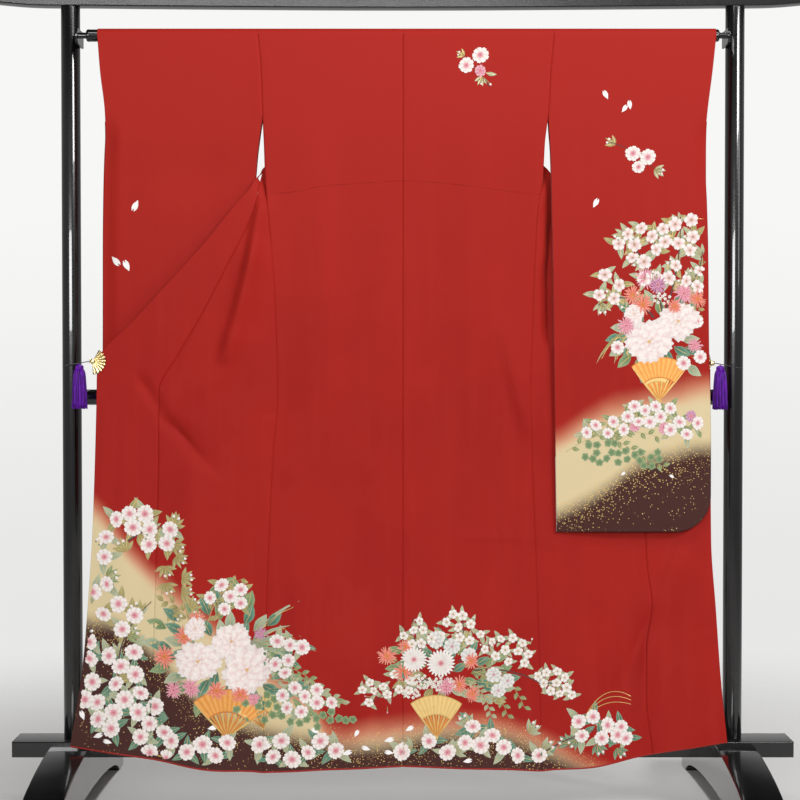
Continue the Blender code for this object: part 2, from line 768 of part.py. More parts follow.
def makeEndCollar(side, group):
    lengths = [COLLAR_SPLIT + 0.0006, 0.358, 0.370, 0.384, 0.400, 0.412, 0.425, 0.442, 0.460,
               0.480, 0.505, 0.560, 0.620, 0.680, 0.740, COLLAR_END]
    rows = [endCollarRow(side, length) for length in lengths]
    if side.sign > 0:
        rows = [row[::-1] for row in rows]
    gridWall(f"collar_{side.name}", rows, COLLAR_THICK, "crepe", group)


SLEEVE_BOTTOM = ROD_Z + WRAP_R - SLEEVE_LENGTH
SLEEVE_END = ROD_Z + WRAP - SLEEVE_BOTTOM
SLEEVE_ROWS = ARMHOLE_ROWS + [0.209, 0.230, 0.260, 0.300, 0.360, 0.460, 0.580, 0.700, 0.820, 0.920]
SLEEVE_ROWS += [SLEEVE_END - rise for rise in (0.085, 0.052, 0.030, 0.014, 0.005, 0.0)]
SLEEVE_COLUMNS = [0, 0.08, 0.22, 0.40, 0.58, 0.75, 0.88, 0.96, 1]


def sleeveRow(side, length, far):
    """Inner edge to cuff edge of one wall of the sleeve, at this length down from the rod."""
    z = ROD_Z + WRAP - length
    innerX, outerX, middle, half = side.sleeve(z)
    seam = (side.frontSide if far else side.back)(length)
    sewn = length < ARMHOLE + 0.001
    if sewn:
        innerX = seam[0] + side.sign * SEAM_INSET
    rise = z - SLEEVE_BOTTOM
    if rise < SLEEVE_CORNER:
        corner = SLEEVE_CORNER
        corner -= math.sqrt(max(0.0, SLEEVE_CORNER ** 2 - (SLEEVE_CORNER - rise) ** 2))
        outerX -= side.sign * corner
    closed = smoothStep((length - CUFF_OPENING + 0.02) / 0.075)
    row = []
    for t in SLEEVE_COLUMNS:
        x = innerX + (outerX - innerX) * t
        fromEdge = smoothStep(abs(outerX - x) / 0.035)
        fromBottom = smoothStep(rise / 0.035)
        opened = min(1 - closed * (1 - fromEdge), fromBottom)
        depth = SLEEVE_EDGE_HALF + (half - SLEEVE_EDGE_HALF) * opened
        p = Vector((x, middle + (depth if far else -depth), z))
        if sewn and t == 0:
            p.y, p.z = seam[2], seam[1]
        row.append(p)
    return row


def makeSleeve(side, group):
    """A bag over the rod: walls joined over the top, at the bottom and below the cuff."""
    lengths = [WRAP] + SLEEVE_ROWS
    near = [sleeveRow(side, length, False) for length in lengths]
    far = [sleeveRow(side, length, True) for length in lengths]
    over = []
    for i in range(1, 2 * WRAP_STEPS):
        turn = WRAP * (i / WRAP_STEPS - 1)
        over.append([overRod(p.x, turn, True) for p in near[0]])
    rows = near[::-1] + over + far
    columns = len(SLEEVE_COLUMNS)
    points = [p for row in rows for p in row]
    faces = []
    for i in range(len(rows) - 1):
        for j in range(columns - 1):
            a = i * columns + j
            faces.append((a, a + columns, a + columns + 1, a + 1))
    last = len(rows) - 1
    for j in range(columns - 1):
        faces.append((j, j + 1, last * columns + j + 1, last * columns + j))
    for i in range(len(near) - 1):
        if lengths[::-1][i + 1] < CUFF_OPENING:
            continue
        low = i * columns + columns - 1
        farLow = (last - i) * columns + columns - 1
        faces.append((low, low + columns, farLow - columns, farLow))
    if side.sign > 0:
        faces = [face[::-1] for face in faces]
    wall(f"sleeve_{side.name}", points, faces, CLOTH, "crepe", group)


def box(name, size, centre, bevel, kind, group):
    mesh = bpy.data.meshes.new(name)
    made = bmesh.new()
    bmesh.ops.create_cube(made, size=1.0)
    bmesh.ops.scale(made, vec=size, verts=made.verts)
    made.to_mesh(mesh)
    made.free()
    thing = addObject(name, mesh, kind, group)
    thing.location = centre
    if bevel:
        edge = thing.modifiers.new("edges", "BEVEL")
        edge.width = bevel
        edge.segments = 2
    return thing


def cylinder(name, radius, length, segments, centre, rotation, kind, group):
    mesh = bpy.data.meshes.new(name)
    made = bmesh.new()
    bmesh.ops.create_cone(made, cap_ends=True, segments=segments,
                          radius1=radius, radius2=radius, depth=length)
    made.to_mesh(mesh)
    made.free()
    thing = addObject(name, mesh, kind, group)
    thing.location = centre
    thing.rotation_euler = rotation
    mesh.shade_smooth()
    mesh.set_sharp_from_angle(angle=math.radians(40))
    return thing


def outlineSolid(name, outline, thick, place, kind, group):
    """A flat outline extruded to both sides by half its thickness."""
    curve = bpy.data.curves.new(name, "CURVE")
    curve.dimensions = "2D"
    curve.fill_mode = "BOTH"
    curve.extrude = thick / 2
    spline = curve.splines.new("POLY")
    spline.points.add(len(outline) - 1)
    for point, (x, y) in zip(spline.points, outline):
        point.co = (x, y, 0, 1)
    spline.use_cyclic_u = True
    made = addObject(name, curve, kind, group)
    made.matrix_local = place
    return made


def turned(name, profile, steps, rotation, centre, kind, group):
    """A profile of (radius, height) pairs turned about Z."""
    mesh = bpy.data.meshes.new(name)
    points = [(r, 0, z) for r, z in profile]
    mesh.from_pydata(points, [(i, i + 1) for i in range(len(points) - 1)], [])
    made = addObject(name, mesh, kind, group)
    screw = made.modifiers.new("turn", "SCREW")
    screw.steps = steps
    screw.render_steps = steps
    screw.use_merge_vertices = True
    screw.merge_threshold = 0.00001
    made.rotation_euler = rotation
    made.location = centre
    return made


def arc(centreX, centreY, radiusX, radiusY, start, end, steps):
    points = []
    for i in range(steps + 1):
        turn = math.radians(start + (end - start) * i / steps)
        points.append((centreX + radiusX * math.cos(turn), centreY + radiusY * math.sin(turn)))
    return points


def makeRod(group):
    """Round rod with rounded ends and a thinner stub at each end."""
    end = STUB_END
    lip = ROD_LIP
    half = [(0.0, end), (STUB_R - STUB_CHAMFER, end), (STUB_R, end - STUB_CHAMFER)]
    half.append((STUB_R, ROD_HALF + lip))
    half += arc(ROD_CAP_R - lip, ROD_HALF, lip, lip, 90, 0, 2)
    half += [(ROD_CAP_R, ROD_HALF - ROD_CAP_LENGTH), (ROD_R, ROD_HALF - ROD_CAP_LENGTH - 0.0004)]
    profile = half + [(r, -z) for r, z in reversed(half)]
    turned("rod", profile, 22, (0, math.pi / 2, 0), (0, 0, ROD_Z), "lacquer", group)


def makeBrackets(group, cutters):
    """Flat arms on the posts' inner sides that carry the rod's stubs."""
    for sign, name in ((-1, "left"), (1, "right")):
        x = sign * (POST_X - POST_R - TOUCH - BRACKET_THICK / 2)
        front, back = -BRACKET_FRONT, STAND_Y + BRACKET_BACK
        plate = box(f"bracket_{name}", (BRACKET_THICK, back - front, BRACKET_HEIGHT),
                    (x, (front + back) / 2, ROD_Z), 0.0012, "lacquer", group)
        hole = cylinder(f"bracket_hole_{name}", STUB_R + TOUCH, 0.03, 28, (x, 0, ROD_Z),
                        (0, math.pi / 2, 0), None, cutters)
        asCutter(hole)
        cut = plate.modifiers.new("hole", "BOOLEAN")
        cut.operation = "DIFFERENCE"
        cut.object = hole


def makeFoot(sign, name, group):
    """A low arched board, front to back, notched for the beam, that stands on its two tips."""
    notch = BEAM_DEPTH / 2 + TOUCH
    right = [(notch, BEAM_LOW - TOUCH)]
    for i in range(FOOT_STEPS + 1):
        y = notch + (FOOT_REACH - notch) * math.sin(math.pi / 2 * i / FOOT_STEPS)
        right.append((y, FOOT_TOP(y)[0]))
    right += arc(0, 0, FOOT_ARCH_REACH, FOOT_ARCH_HIGH, 0, 90, ARCH_STEPS)[:-1]
    right.insert(FOOT_STEPS + 2, (FOOT_REACH, 0))
    outline = right + [(0, FOOT_ARCH_HIGH)] + [(-y, z) for y, z in reversed(right)]
    turn = Matrix(((0, 0, 1, sign * POST_X), (1, 0, 0, STAND_Y), (0, 1, 0, 0), (0, 0, 0, 1)))
    outlineSolid(f"foot_{name}", outline, FOOT_WIDTH, turn, "lacquer", group)


def makeTopBar(group):
    """Top bar, a shallow curve with upturned ends."""
    stations = [row[0] for row in BAR_RISE_ROWS[1:]]
    lower = [(x, BAR_LOW + BAR_CURVE(x)[0]) for x in stations]
    upper = [(x, z + BAR_HEIGHT) for x, z in lower]
    upper[-1] = (upper[-1][0] + BAR_END_OUT, upper[-1][1])
    right = lower + upper[::-1]
    outline = right + [(-x, z) for x, z in reversed(right)]
    turn = Matrix(((1, 0, 0, 0), (0, 0, -1, STAND_Y), (0, 1, 0, 0), (0, 0, 0, 1)))
    outlineSolid("top_bar", outline, BAR_DEPTH, turn, "lacquer", group)


def makeStand(group, cutters):
    box("base_beam", (BEAM_LENGTH, BEAM_DEPTH, BEAM_HIGH - BEAM_LOW),
        (0, STAND_Y, (BEAM_HIGH + BEAM_LOW) / 2), 0.002, "lacquer", group)
    low, high = BEAM_HIGH + TOUCH, BAR_LOW + BAR_CURVE(POST_X)[0] - TOUCH
    for sign, name in ((-1, "left"), (1, "right")):
        cylinder(f"post_{name}", POST_R, high - low, 32, (sign * POST_X, STAND_Y, (low + high) / 2),
                 (0, 0, 0), "lacquer", group)
        makeFoot(sign, name, group)
    cylinder("mid_rail", RAIL_R, 2 * (POST_X - POST_R - TOUCH), 28, (0, STAND_Y, RAIL_Z),
             (0, math.pi / 2, 0), "lacquer", group)
    makeTopBar(group)
    makeRod(group)
    makeBrackets(group, cutters)


def clothDepths(side, corner):
    """Depths of the front near its corner, over the patch that a clip covers."""
    return [side.depth(corner.x - side.sign * across, corner.z + up)
            for across in (0, 0.01, 0.02) for up in (-0.02, -0.01, 0, 0.01)]


def makeClip(side, group):
    """A small pleated fan that lies on the cloth, and the strap that grips the cloth under it."""
    corner = frontEdge(side, COLLAR_END + 0.008)
    depths = clothDepths(side, corner)
    front = min(depths) - CLOTH / 2 - TOUCH
    back = max(depths) + COLLAR_BEHIND + COLLAR_THICK / 2 + TOUCH
    centre = Vector((corner.x + side.sign * PIVOT_OUT[side.name], front - SEAM_INSET,
                     corner.z - PIVOT_DOWN[side.name]))
    centre.y -= FAN_PLEAT + FAN_THICK / 2
    rows = []
    steps = 2 * FAN_RIBS
    for i in range(steps + 1):
        angle = FAN_TILT[side.name] - FAN_SPREAD + 2 * FAN_SPREAD * i / steps
        lift = FAN_PLEAT if i % 2 else -FAN_PLEAT
        row = []
        for r in (FAN_ROOT_R, 0.6 * FAN_R, FAN_R):
            share = (r - FAN_ROOT_R) / (FAN_R - FAN_ROOT_R)
            x = -side.sign * r * math.cos(angle)
            row.append(centre + Vector((x, -lift * (0.25 + 0.75 * share), r * math.sin(angle))))
        rows.append(row)
    gridWall(f"clip_fan_{side.name}", rows, FAN_THICK, "gold", group)

    nearY = centre.y - FAN_PLEAT - FAN_THICK / 2 - TOUCH - JAW_THICK
    farY = back + JAW_THICK
    bend = JAW_END - JAW_THICK - 0.0002
    outside = [(JAW_FAR_REACH, farY), (JAW_CORNER - JAW_END, farY), (-JAW_END, farY - JAW_CORNER),
               (-JAW_END, nearY + JAW_CORNER), (JAW_CORNER - JAW_END, nearY), (JAW_NEAR_REACH, nearY)]
    inside = [(JAW_NEAR_REACH, nearY + JAW_THICK), (-bend, nearY + JAW_THICK), (-bend, farY - JAW_THICK),
              (JAW_FAR_REACH, farY - JAW_THICK)]
    outline = [(centre.x - side.sign * x, y) for x, y in outside + inside]
    if side.sign < 0:
        outline = outline[::-1]
    place = Matrix.Translation((0, 0, centre.z))
    outlineSolid(f"clip_jaw_{side.name}", outline, JAW_HEIGHT, place, "gold", group)
    return Vector((centre.x + side.sign * JAW_END, nearY + EYE_BEHIND, centre.z))


def makeString(side, start, group):
    """Thin cord from the clip across the near side of the post and round it."""
    ring = POST_R + STRING_R + TOUCH
    post = Vector((side.sign * POST_X, STAND_Y, 0))
    begin = start + Vector((side.sign * (STRING_R + TOUCH), 0, 0))
    reach = Vector((side.sign * (post.x - begin.x), begin.y - post.y))
    first = math.atan2(reach.y, reach.x) - math.acos(ring / reach.length)
    points = [begin]
    for i in range(STRING_STEPS + 1):
        share = i / STRING_STEPS
        angle = first - math.radians(STRING_TURN) * share
        x = post.x - side.sign * ring * math.cos(angle)
        y = post.y + ring * math.sin(angle)
        points.append(Vector((x, y, begin.z - STRING_DROP - STRING_PITCH * share)))
    share = (side.sign * TASSEL_X[side.name] - begin.x) / (points[1].x - begin.x)
    curve = bpy.data.curves.new(f"string_{side.name}", "CURVE")
    curve.dimensions = "3D"
    curve.bevel_depth = STRING_R
    curve.bevel_resolution = 1
    curve.use_fill_caps = True
    spline = curve.splines.new("POLY")
    spline.points.add(len(points) - 1)
    for place, p in zip(spline.points, points):
        place.co = (*p, 1)
    addObject(f"string_{side.name}", curve, "string", group)
    return begin.lerp(points[1], share)


def addLock(made, turn, rootR, endR, length):
    """One tapered four-sided lock of the tassel, from its root in the head."""
    out = Vector((math.cos(turn), math.sin(turn), 0))
    across = Vector((-math.sin(turn), math.cos(turn), 0))
    rings = []
    for i in range(LOCK_STEPS + 1):
        share = i / LOCK_STEPS
        middle = out * (rootR + (endR - rootR) * share ** LOCK_SWELL)
        middle.z = LOCK_ROOT - TASSEL_HEAD - length * share
        half = LOCK_WIDTH * (0.42 + 0.12 * share)
        corners = [middle + out * half, middle + across * half]
        corners += [middle - out * half, middle - across * half]
        rings.append([made.verts.new(p) for p in corners])
    for a, b in zip(rings, rings[1:]):
        for j in range(4):
            made.faces.new((a[j], b[j], b[(j + 1) % 4], a[(j + 1) % 4]))
    made.faces.new(rings[0])
    made.faces.new(rings[-1][::-1])


def makeTassel(side, knot, group, cutters):
    """A round head with locks fused into its underside."""
    name = side.name
    top = knot - Vector((0, 0, STRING_R + TOUCH))
    head = turned(f"tassel_{name}", HEAD_OUTLINE, 12, (0, 0, 0), top, "silk", group)
    made = bmesh.new()
    for count, rootR, endR in LOCK_RINGS:
        for i in range(count):
            turn = 2 * math.pi * (i + 0.25) / count
            length = TASSEL_LENGTH - TASSEL_HEAD + LOCK_ROOT + 0.003 * math.sin(3 * i + count)
            addLock(made, turn, rootR, endR, length)
    bmesh.ops.recalc_face_normals(made, faces=made.faces)
    mesh = bpy.data.meshes.new(f"tassel_locks_{name}")
    made.to_mesh(mesh)
    made.free()
    locks = addObject(f"tassel_locks_{name}", mesh, None, cutters)
    locks.location = top
    asCutter(locks)
    join = head.modifiers.new("locks", "BOOLEAN")
    join.operation = "UNION"
    join.object = locks


def main():
    clearScene()
    group = collection("furisode_on_stand")
    cutters = collection("cutters")
    addCarrier(group)
    makeStand(group, cutters)
    for side in (LEFT, RIGHT):
        makeBody(side, group)
        makeOverlap(side, group)
        makeSleeve(side, group)
        makeEndCollar(side, group)
        start = makeClip(side, group)
        knot = makeString(side, start, group)
        makeTassel(side, knot, group, cutters)
    makeNeckCollar(group)


main()
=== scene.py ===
import math
import random

import bmesh
import bpy
import numpy as np
from mathutils import Matrix, Vector


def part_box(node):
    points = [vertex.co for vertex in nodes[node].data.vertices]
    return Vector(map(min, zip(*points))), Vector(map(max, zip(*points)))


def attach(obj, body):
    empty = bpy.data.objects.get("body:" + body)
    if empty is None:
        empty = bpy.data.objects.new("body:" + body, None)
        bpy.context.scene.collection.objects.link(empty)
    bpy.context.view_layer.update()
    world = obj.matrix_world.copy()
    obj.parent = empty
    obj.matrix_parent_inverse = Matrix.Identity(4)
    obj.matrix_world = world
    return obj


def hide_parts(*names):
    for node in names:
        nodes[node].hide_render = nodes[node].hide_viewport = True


# A furisode hung by its sleeves on a lacquered stand, back to the viewer, both fronts opened out.
# Metres. +X is the viewer's right, +Y away from the viewer, +Z up.
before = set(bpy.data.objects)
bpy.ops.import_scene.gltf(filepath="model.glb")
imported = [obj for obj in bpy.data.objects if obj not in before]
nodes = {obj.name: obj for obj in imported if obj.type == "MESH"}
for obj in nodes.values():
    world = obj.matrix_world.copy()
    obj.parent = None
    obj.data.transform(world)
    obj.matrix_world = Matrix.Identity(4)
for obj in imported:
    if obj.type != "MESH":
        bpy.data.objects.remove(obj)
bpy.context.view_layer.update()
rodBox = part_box("rod")
rodY = (rodBox[0].y + rodBox[1].y) / 2  # depths in the tables below count from the rod's axis
rodZ = (rodBox[0].z + rodBox[1].z) / 2

# What a user would change on the cloth
cloth = {
    "wall": 0.0013,
    "collarWall": 0.0020,
    "across": 0.0062,  # size of the mesh's squares
    "down": 0.0062,
    "finer": 0.0040,  # where the cloth turns over
    "finerTo": 0.430,  # length down to which it is finer
    "overSteps": 24,  # over the rod
    "bodyWide": 0.30,  # for the number of squares
    "overlapWide": 0.13,
    "sleeveWide": 0.35,
    "seamGap": 0.00012,
    "seamDip": 0.0015,  # how far sewn edges are drawn in
    "seamSoft": 0.0016,
    "hemRoll": 0.0035,  # the lining's edge that shows below the hem
}
wrapR = 0.0141  # the cloth's middle over the rod
wrap = wrapR * math.pi / 2
armhole = 0.192
slitEnd = 0.334
bodyLength = 1.600
hemMiddle = 0.112
hemSag = 0.009
cuffOpening = 0.205
sleeveLength = 1.080
sleeveCorner = 0.075
sleeveEdgeHalf = 0.0027
collarWidth = 0.055
collarBehind = 0.0034
collarEnd = 0.792
collarSplit = 0.3503  # length where the neck's collar ends and the fronts' begins
collarSoft = 0.0007  # rounding of its edges
overlapTop = {"left": 0.358, "right": 0.384}
openedFrom = 0.345
openedBy = 0.390


def smoothStep(t):
    t = np.clip(t, 0.0, 1.0)
    return t * t * (3 - 2 * t)


class Table:  # a table's columns as smooth curves of its first column, with no overshoot
    def __init__(self, rows):
        data = np.array(rows, float)
        self.at, self.values = data[:, 0], data[:, 1:]
        rise = np.diff(self.values, axis=0) / np.diff(self.at)[:, None]
        same = rise[:-1] * rise[1:] > 0
        total = np.where(same, rise[:-1] + rise[1:], 1.0)
        middle = np.where(same, 2 * rise[:-1] * rise[1:] / total, 0.0)
        self.slopes = np.vstack([rise[:1], middle, rise[-1:]])

    def __call__(self, where):
        where = np.clip(np.asarray(where, float), self.at[0], self.at[-1])
        i = np.clip(np.searchsorted(self.at, where, side="right") - 1, 0, len(self.at) - 2)
        step = (self.at[i + 1] - self.at[i])[..., None]
        t = (where - self.at[i])[..., None] / step
        near = self.values[i] * (1 + 2 * t) * (1 - t) ** 2 + self.slopes[i] * step * t * (1 - t) ** 2
        far = self.values[i + 1] * t * t * (3 - 2 * t) + self.slopes[i + 1] * step * t * t * (t - 1)
        return np.moveaxis(near + far, -1, 0)


# Centre back seam. Columns: height, depth
centreDepth = [
    (0.090, -0.0300),
    (0.410, -0.0270),
    (0.655, -0.0240),
    (0.903, -0.0210),
    (1.156, -0.0190),
    (1.353, -0.0170),
    (1.516, -0.0155),
    (rodZ, -wrapR),
]

# Side edge of the back, the armhole first, then the slit, then the side seam.
# Columns: length down the cloth, x, height, depth
sideLeft = [
    (wrap, -0.3104, rodZ, -wrapR),
    (0.100, -0.304, 1.608, -0.0148),
    (armhole, -0.301, 1.516, -0.0155),
    (0.250, -0.298, 1.456, -0.0170),
    (0.324, -0.295, 1.380, -0.0200),
    (0.400, -0.288, 1.303, -0.0230),
    (0.500, -0.280, 1.204, -0.0250),
    (0.610, -0.274, 1.092, -0.0260),
    (0.800, -0.270, 0.903, -0.0270),
    (0.910, -0.279, 0.795, -0.0270),
    (1.150, -0.291, 0.559, -0.0280),
    (1.410, -0.299, 0.296, -0.0300),
    (bodyLength, -0.303, 0.099, -0.0320),
]
sideRight = [
    (wrap, 0.3240, rodZ, -wrapR),
    (0.100, 0.317, 1.608, -0.0148),
    (armhole, 0.312, 1.516, -0.0155),
    (0.250, 0.305, 1.456, -0.0145),
    (0.324, 0.301, 1.380, -0.0115),
    (0.400, 0.290, 1.303, -0.0085),
    (0.500, 0.284, 1.204, -0.0060),
    (0.610, 0.280, 1.092, -0.0050),
    (0.800, 0.276, 0.903, -0.0050),
    (0.910, 0.278, 0.795, -0.0055),
    (1.150, 0.287, 0.559, -0.0100),
    (1.410, 0.295, 0.296, -0.0195),
    (bodyLength, 0.299, 0.101, -0.0260),
]

# Side edge of the front on its way from the far side of the rod, through the slit, to the side
# seam, which it then shares with the back. Columns: length down the cloth, x, height, depth
frontSideLeft = [
    (wrap, -0.3104, rodZ, wrapR),
    (0.100, -0.304, 1.608, 0.0150),
    (armhole, -0.301, 1.516, 0.0155),
    (0.250, -0.2975, 1.456, 0.0145),
    (0.290, -0.2960, 1.415, 0.0090),
    (0.315, -0.2960, 1.389, -0.0030),
]
frontSideRight = [
    (wrap, 0.3240, rodZ, wrapR),
    (0.100, 0.317, 1.608, 0.0150),
    (armhole, 0.312, 1.516, 0.0155),
    (0.250, 0.3050, 1.456, 0.0140),
    (0.290, 0.3022, 1.415, 0.0080),
    (0.315, 0.3020, 1.389, -0.0020),
]

# Inner edge of the front: the neck, the hidden slope behind the back, the slit, and the seam of
# the overlap panel down to the hem. Columns: length down the cloth, x, height, depth
frontInnerLeft = [
    (wrap, -0.0002, rodZ, wrapR),
    (0.027, -0.030, 1.681, 0.0143),
    (0.031, -0.056, 1.677, 0.0145),
    (0.036, -0.076, 1.672, 0.0147),
    (0.044, -0.089, 1.664, 0.0150),
    (0.070, -0.100, 1.639, 0.0155),
    (0.120, -0.126, 1.594, 0.0165),
    (0.200, -0.182, 1.532, 0.0180),
    (0.270, -0.238, 1.467, 0.0185),
    (0.300, -0.270, 1.432, 0.0185),
    (0.318, -0.288, 1.412, 0.0140),
    (0.335, -0.3010, 1.397, 0.0040),
    (0.355, -0.3060, 1.375, -0.0115),
    (0.375, -0.3110, 1.345, -0.0235),
    (0.400, -0.324, 1.299, -0.0300),
    (0.500, -0.3765, 1.192, -0.0330),
    (0.610, -0.430, 1.089, -0.0340),
    (0.700, -0.483, 0.999, -0.0340),
    (0.800, -0.524, 0.918, -0.0330),
    (0.910, -0.524, 0.817, -0.0330),
    (1.150, -0.530, 0.570, -0.0330),
    (1.410, -0.539, 0.312, -0.0350),
    (bodyLength, -0.548, 0.130, -0.0360),
]
frontInnerRight = [
    (wrap, 0.0002, rodZ, wrapR),
    (0.027, 0.030, 1.681, 0.0143),
    (0.031, 0.056, 1.677, 0.0145),
    (0.036, 0.076, 1.672, 0.0147),
    (0.044, 0.089, 1.664, 0.0150),
    (0.070, 0.100, 1.639, 0.0155),
    (0.120, 0.126, 1.594, 0.0165),
    (0.200, 0.182, 1.532, 0.0185),
    (0.270, 0.240, 1.467, 0.0200),
    (0.300, 0.270, 1.432, 0.0215),
    (0.318, 0.288, 1.421, 0.0230),
    (0.335, 0.303, 1.411, 0.0240),
    (0.355, 0.318, 1.396, 0.0240),
    (0.375, 0.332, 1.366, 0.0238),
    (0.400, 0.347, 1.318, 0.0235),
    (0.500, 0.397, 1.195, 0.0230),
    (0.610, 0.448, 1.091, 0.0220),
    (0.700, 0.491, 0.999, 0.0215),
    (0.800, 0.526, 0.917, 0.0210),
    (0.910, 0.524, 0.815, 0.0200),
    (1.150, 0.528, 0.563, 0.0120),
    (1.240, 0.540, 0.457, 0.0060),
    (1.330, 0.527, 0.360, 0.0000),
    (1.430, 0.527, 0.268, -0.0070),
    (bodyLength, 0.541, 0.136, -0.0180),
]

# Opening edge of the overlap panel, from its point to the hem.
# Columns: length down the cloth, x, height, depth
openingLeft = [
    (0.345, -0.3042, 1.3890, -0.0035),
    (0.360, -0.3132, 1.3790, -0.0150),
    (0.378, -0.3270, 1.3560, -0.0250),
    (0.400, -0.355, 1.325, -0.0300),
    (0.500, -0.428, 1.235, -0.0320),
    (0.610, -0.508, 1.148, -0.0320),
    (0.700, -0.575, 1.075, -0.0310),
    (0.792, -0.650, 0.997, -0.0295),
    (0.805, -0.6545, 0.985, -0.0290),
    (0.910, -0.657, 0.881, -0.0300),
    (1.150, -0.666, 0.624, -0.0310),
    (1.280, -0.675, 0.484, -0.0320),
    (1.410, -0.688, 0.333, -0.0330),
    (bodyLength, -0.716, 0.156, -0.0340),
]
openingRight = [
    (0.370, 0.3285, 1.3740, 0.0240),
    (0.384, 0.3430, 1.3560, 0.0240),
    (0.400, 0.3580, 1.3360, 0.0240),
    (0.425, 0.3790, 1.3100, 0.0240),
    (0.500, 0.445, 1.249, 0.0240),
    (0.610, 0.528, 1.162, 0.0220),
    (0.700, 0.601, 1.082, 0.0210),
    (0.792, 0.663, 1.003, 0.0200),
    (0.805, 0.6665, 0.989, 0.0200),
    (0.910, 0.667, 0.880, 0.0190),
    (1.150, 0.669, 0.598, 0.0130),
    (1.280, 0.679, 0.447, 0.0050),
    (1.410, 0.689, 0.296, -0.0040),
    (bodyLength, 0.702, 0.161, -0.0160),
]

# Depth of each opened front past the side seam, and the width over which it gets there.
# Columns: height, depth, width
fanLeft = [
    (0.090, -0.0360, 0.080),
    (0.440, -0.0340, 0.070),
    (0.920, -0.0330, 0.060),
    (1.190, -0.0330, 0.050),
    (1.300, -0.0305, 0.040),
    (1.400, -0.0290, 0.030),
]
fanRight = [
    (0.090, -0.0180, 0.200),
    (0.270, -0.0070, 0.190),
    (0.460, 0.0040, 0.190),
    (0.570, 0.0080, 0.180),
    (0.690, 0.0110, 0.170),
    (0.920, 0.0140, 0.150),
    (1.100, 0.0160, 0.100),
    (1.200, 0.0180, 0.080),
    (1.300, 0.0205, 0.048),
    (1.340, 0.0218, 0.037),
    (1.380, 0.0232, 0.027),
    (1.410, 0.0240, 0.024),
]

# Folds and creases of the hung back and fronts, each along a straight line between two points,
# standing out towards the viewer by its height, or sunk if that is negative.
# Columns: x and z of the upper end, x and z of the lower end, width to the left, width to the
# right, height
folds = [
    (-0.205, 1.50, -0.165, 0.80, 0.050, 0.040, 0.0045),
    (-0.120, 1.45, -0.100, 0.55, 0.040, 0.045, -0.0035),
    (0.150, 1.45, 0.172, 0.90, 0.040, 0.045, 0.0045),
    (0.215, 1.06, 0.268, 0.84, 0.018, 0.040, 0.0055),
    (0.085, 1.20, 0.060, 0.40, 0.050, 0.050, -0.0030),
    (-0.215, 0.60, -0.235, 0.08, 0.040, 0.040, 0.0060),
    (-0.090, 0.42, -0.100, 0.05, 0.050, 0.050, 0.0050),
    (0.110, 0.42, 0.125, 0.05, 0.050, 0.050, 0.0045),
    (0.225, 0.50, 0.235, 0.05, 0.035, 0.035, -0.0040),
    (-0.300, 1.345, -0.330, 1.20, 0.010, 0.024, 0.0080),
    (-0.326, 1.215, -0.372, 1.03, 0.011, 0.030, 0.0085),
    (-0.368, 1.05, -0.386, 0.985, 0.012, 0.024, 0.0050),
    (-0.322, 1.26, -0.366, 1.07, 0.014, 0.010, -0.0030),
    (-0.330, 1.30, -0.520, 0.93, 0.014, 0.016, -0.0040),
    (-0.340, 1.28, -0.460, 1.03, 0.020, 0.018, 0.0040),
    (-0.560, 0.945, -0.520, 0.880, 0.012, 0.016, -0.0045),
    (-0.512, 0.868, -0.440, 0.780, 0.016, 0.012, -0.0055),
    (-0.440, 0.80, -0.470, 0.15, 0.045, 0.050, 0.0060),
    (-0.335, 0.75, -0.350, 0.10, 0.035, 0.040, -0.0045),
    (-0.600, 0.62, -0.630, 0.12, 0.040, 0.040, 0.0050),
    (0.588, 0.600, 0.548, 0.460, 0.018, 0.022, -0.0045),
    (0.542, 0.440, 0.468, 0.270, 0.020, 0.030, -0.0060),
    (0.535, 0.380, 0.516, 0.18, 0.022, 0.016, 0.0050),
    (0.610, 0.58, 0.625, 0.10, 0.040, 0.040, 0.0050),
    (0.400, 0.55, 0.415, 0.10, 0.045, 0.045, 0.0050),
]

# Sleeves as hung. Columns: height, x of the inner edge, x of the cuff edge, middle depth,
# half depth
sleeveLeft = [
    (0.600, -0.3300, -0.648, 0.0000, 0.0070),
    (0.800, -0.3310, -0.648, 0.0000, 0.0080),
    (1.032, -0.3340, -0.645, 0.0000, 0.0095),
    (1.250, -0.3300, -0.644, 0.0000, 0.0110),
    (1.330, -0.3235, -0.643, 0.0010, 0.0105),
    (1.380, -0.3165, -0.642, 0.0020, 0.0100),
    (1.430, -0.3120, -0.640, 0.0010, 0.0115),
    (1.470, -0.3068, -0.638, 0.0000, 0.0130),
    (1.516, -0.3014, -0.639, 0.0000, 0.0135),
    (1.608, -0.3044, -0.649, 0.0000, 0.0140),
    (rodZ, -0.3108, -0.655, 0.0000, wrapR),
]
sleeveRight = [
    (0.600, 0.3320, 0.662, -0.0120, 0.0040),
    (0.800, 0.3290, 0.662, -0.0098, 0.0052),
    (1.032, 0.3255, 0.657, -0.0078, 0.0068),
    (1.224, 0.3225, 0.655, -0.0052, 0.0090),
    (1.330, 0.3200, 0.652, -0.0034, 0.0106),
    (1.380, 0.3192, 0.650, -0.0022, 0.0115),
    (1.439, 0.3172, 0.650, -0.0012, 0.0125),
    (1.488, 0.3135, 0.651, -0.0005, 0.0130),
    (1.516, 0.3124, 0.653, 0.0000, 0.0135),
    (1.608, 0.3174, 0.664, 0.0000, 0.0140),
    (rodZ, 0.3244, 0.672, 0.0000, wrapR),
]

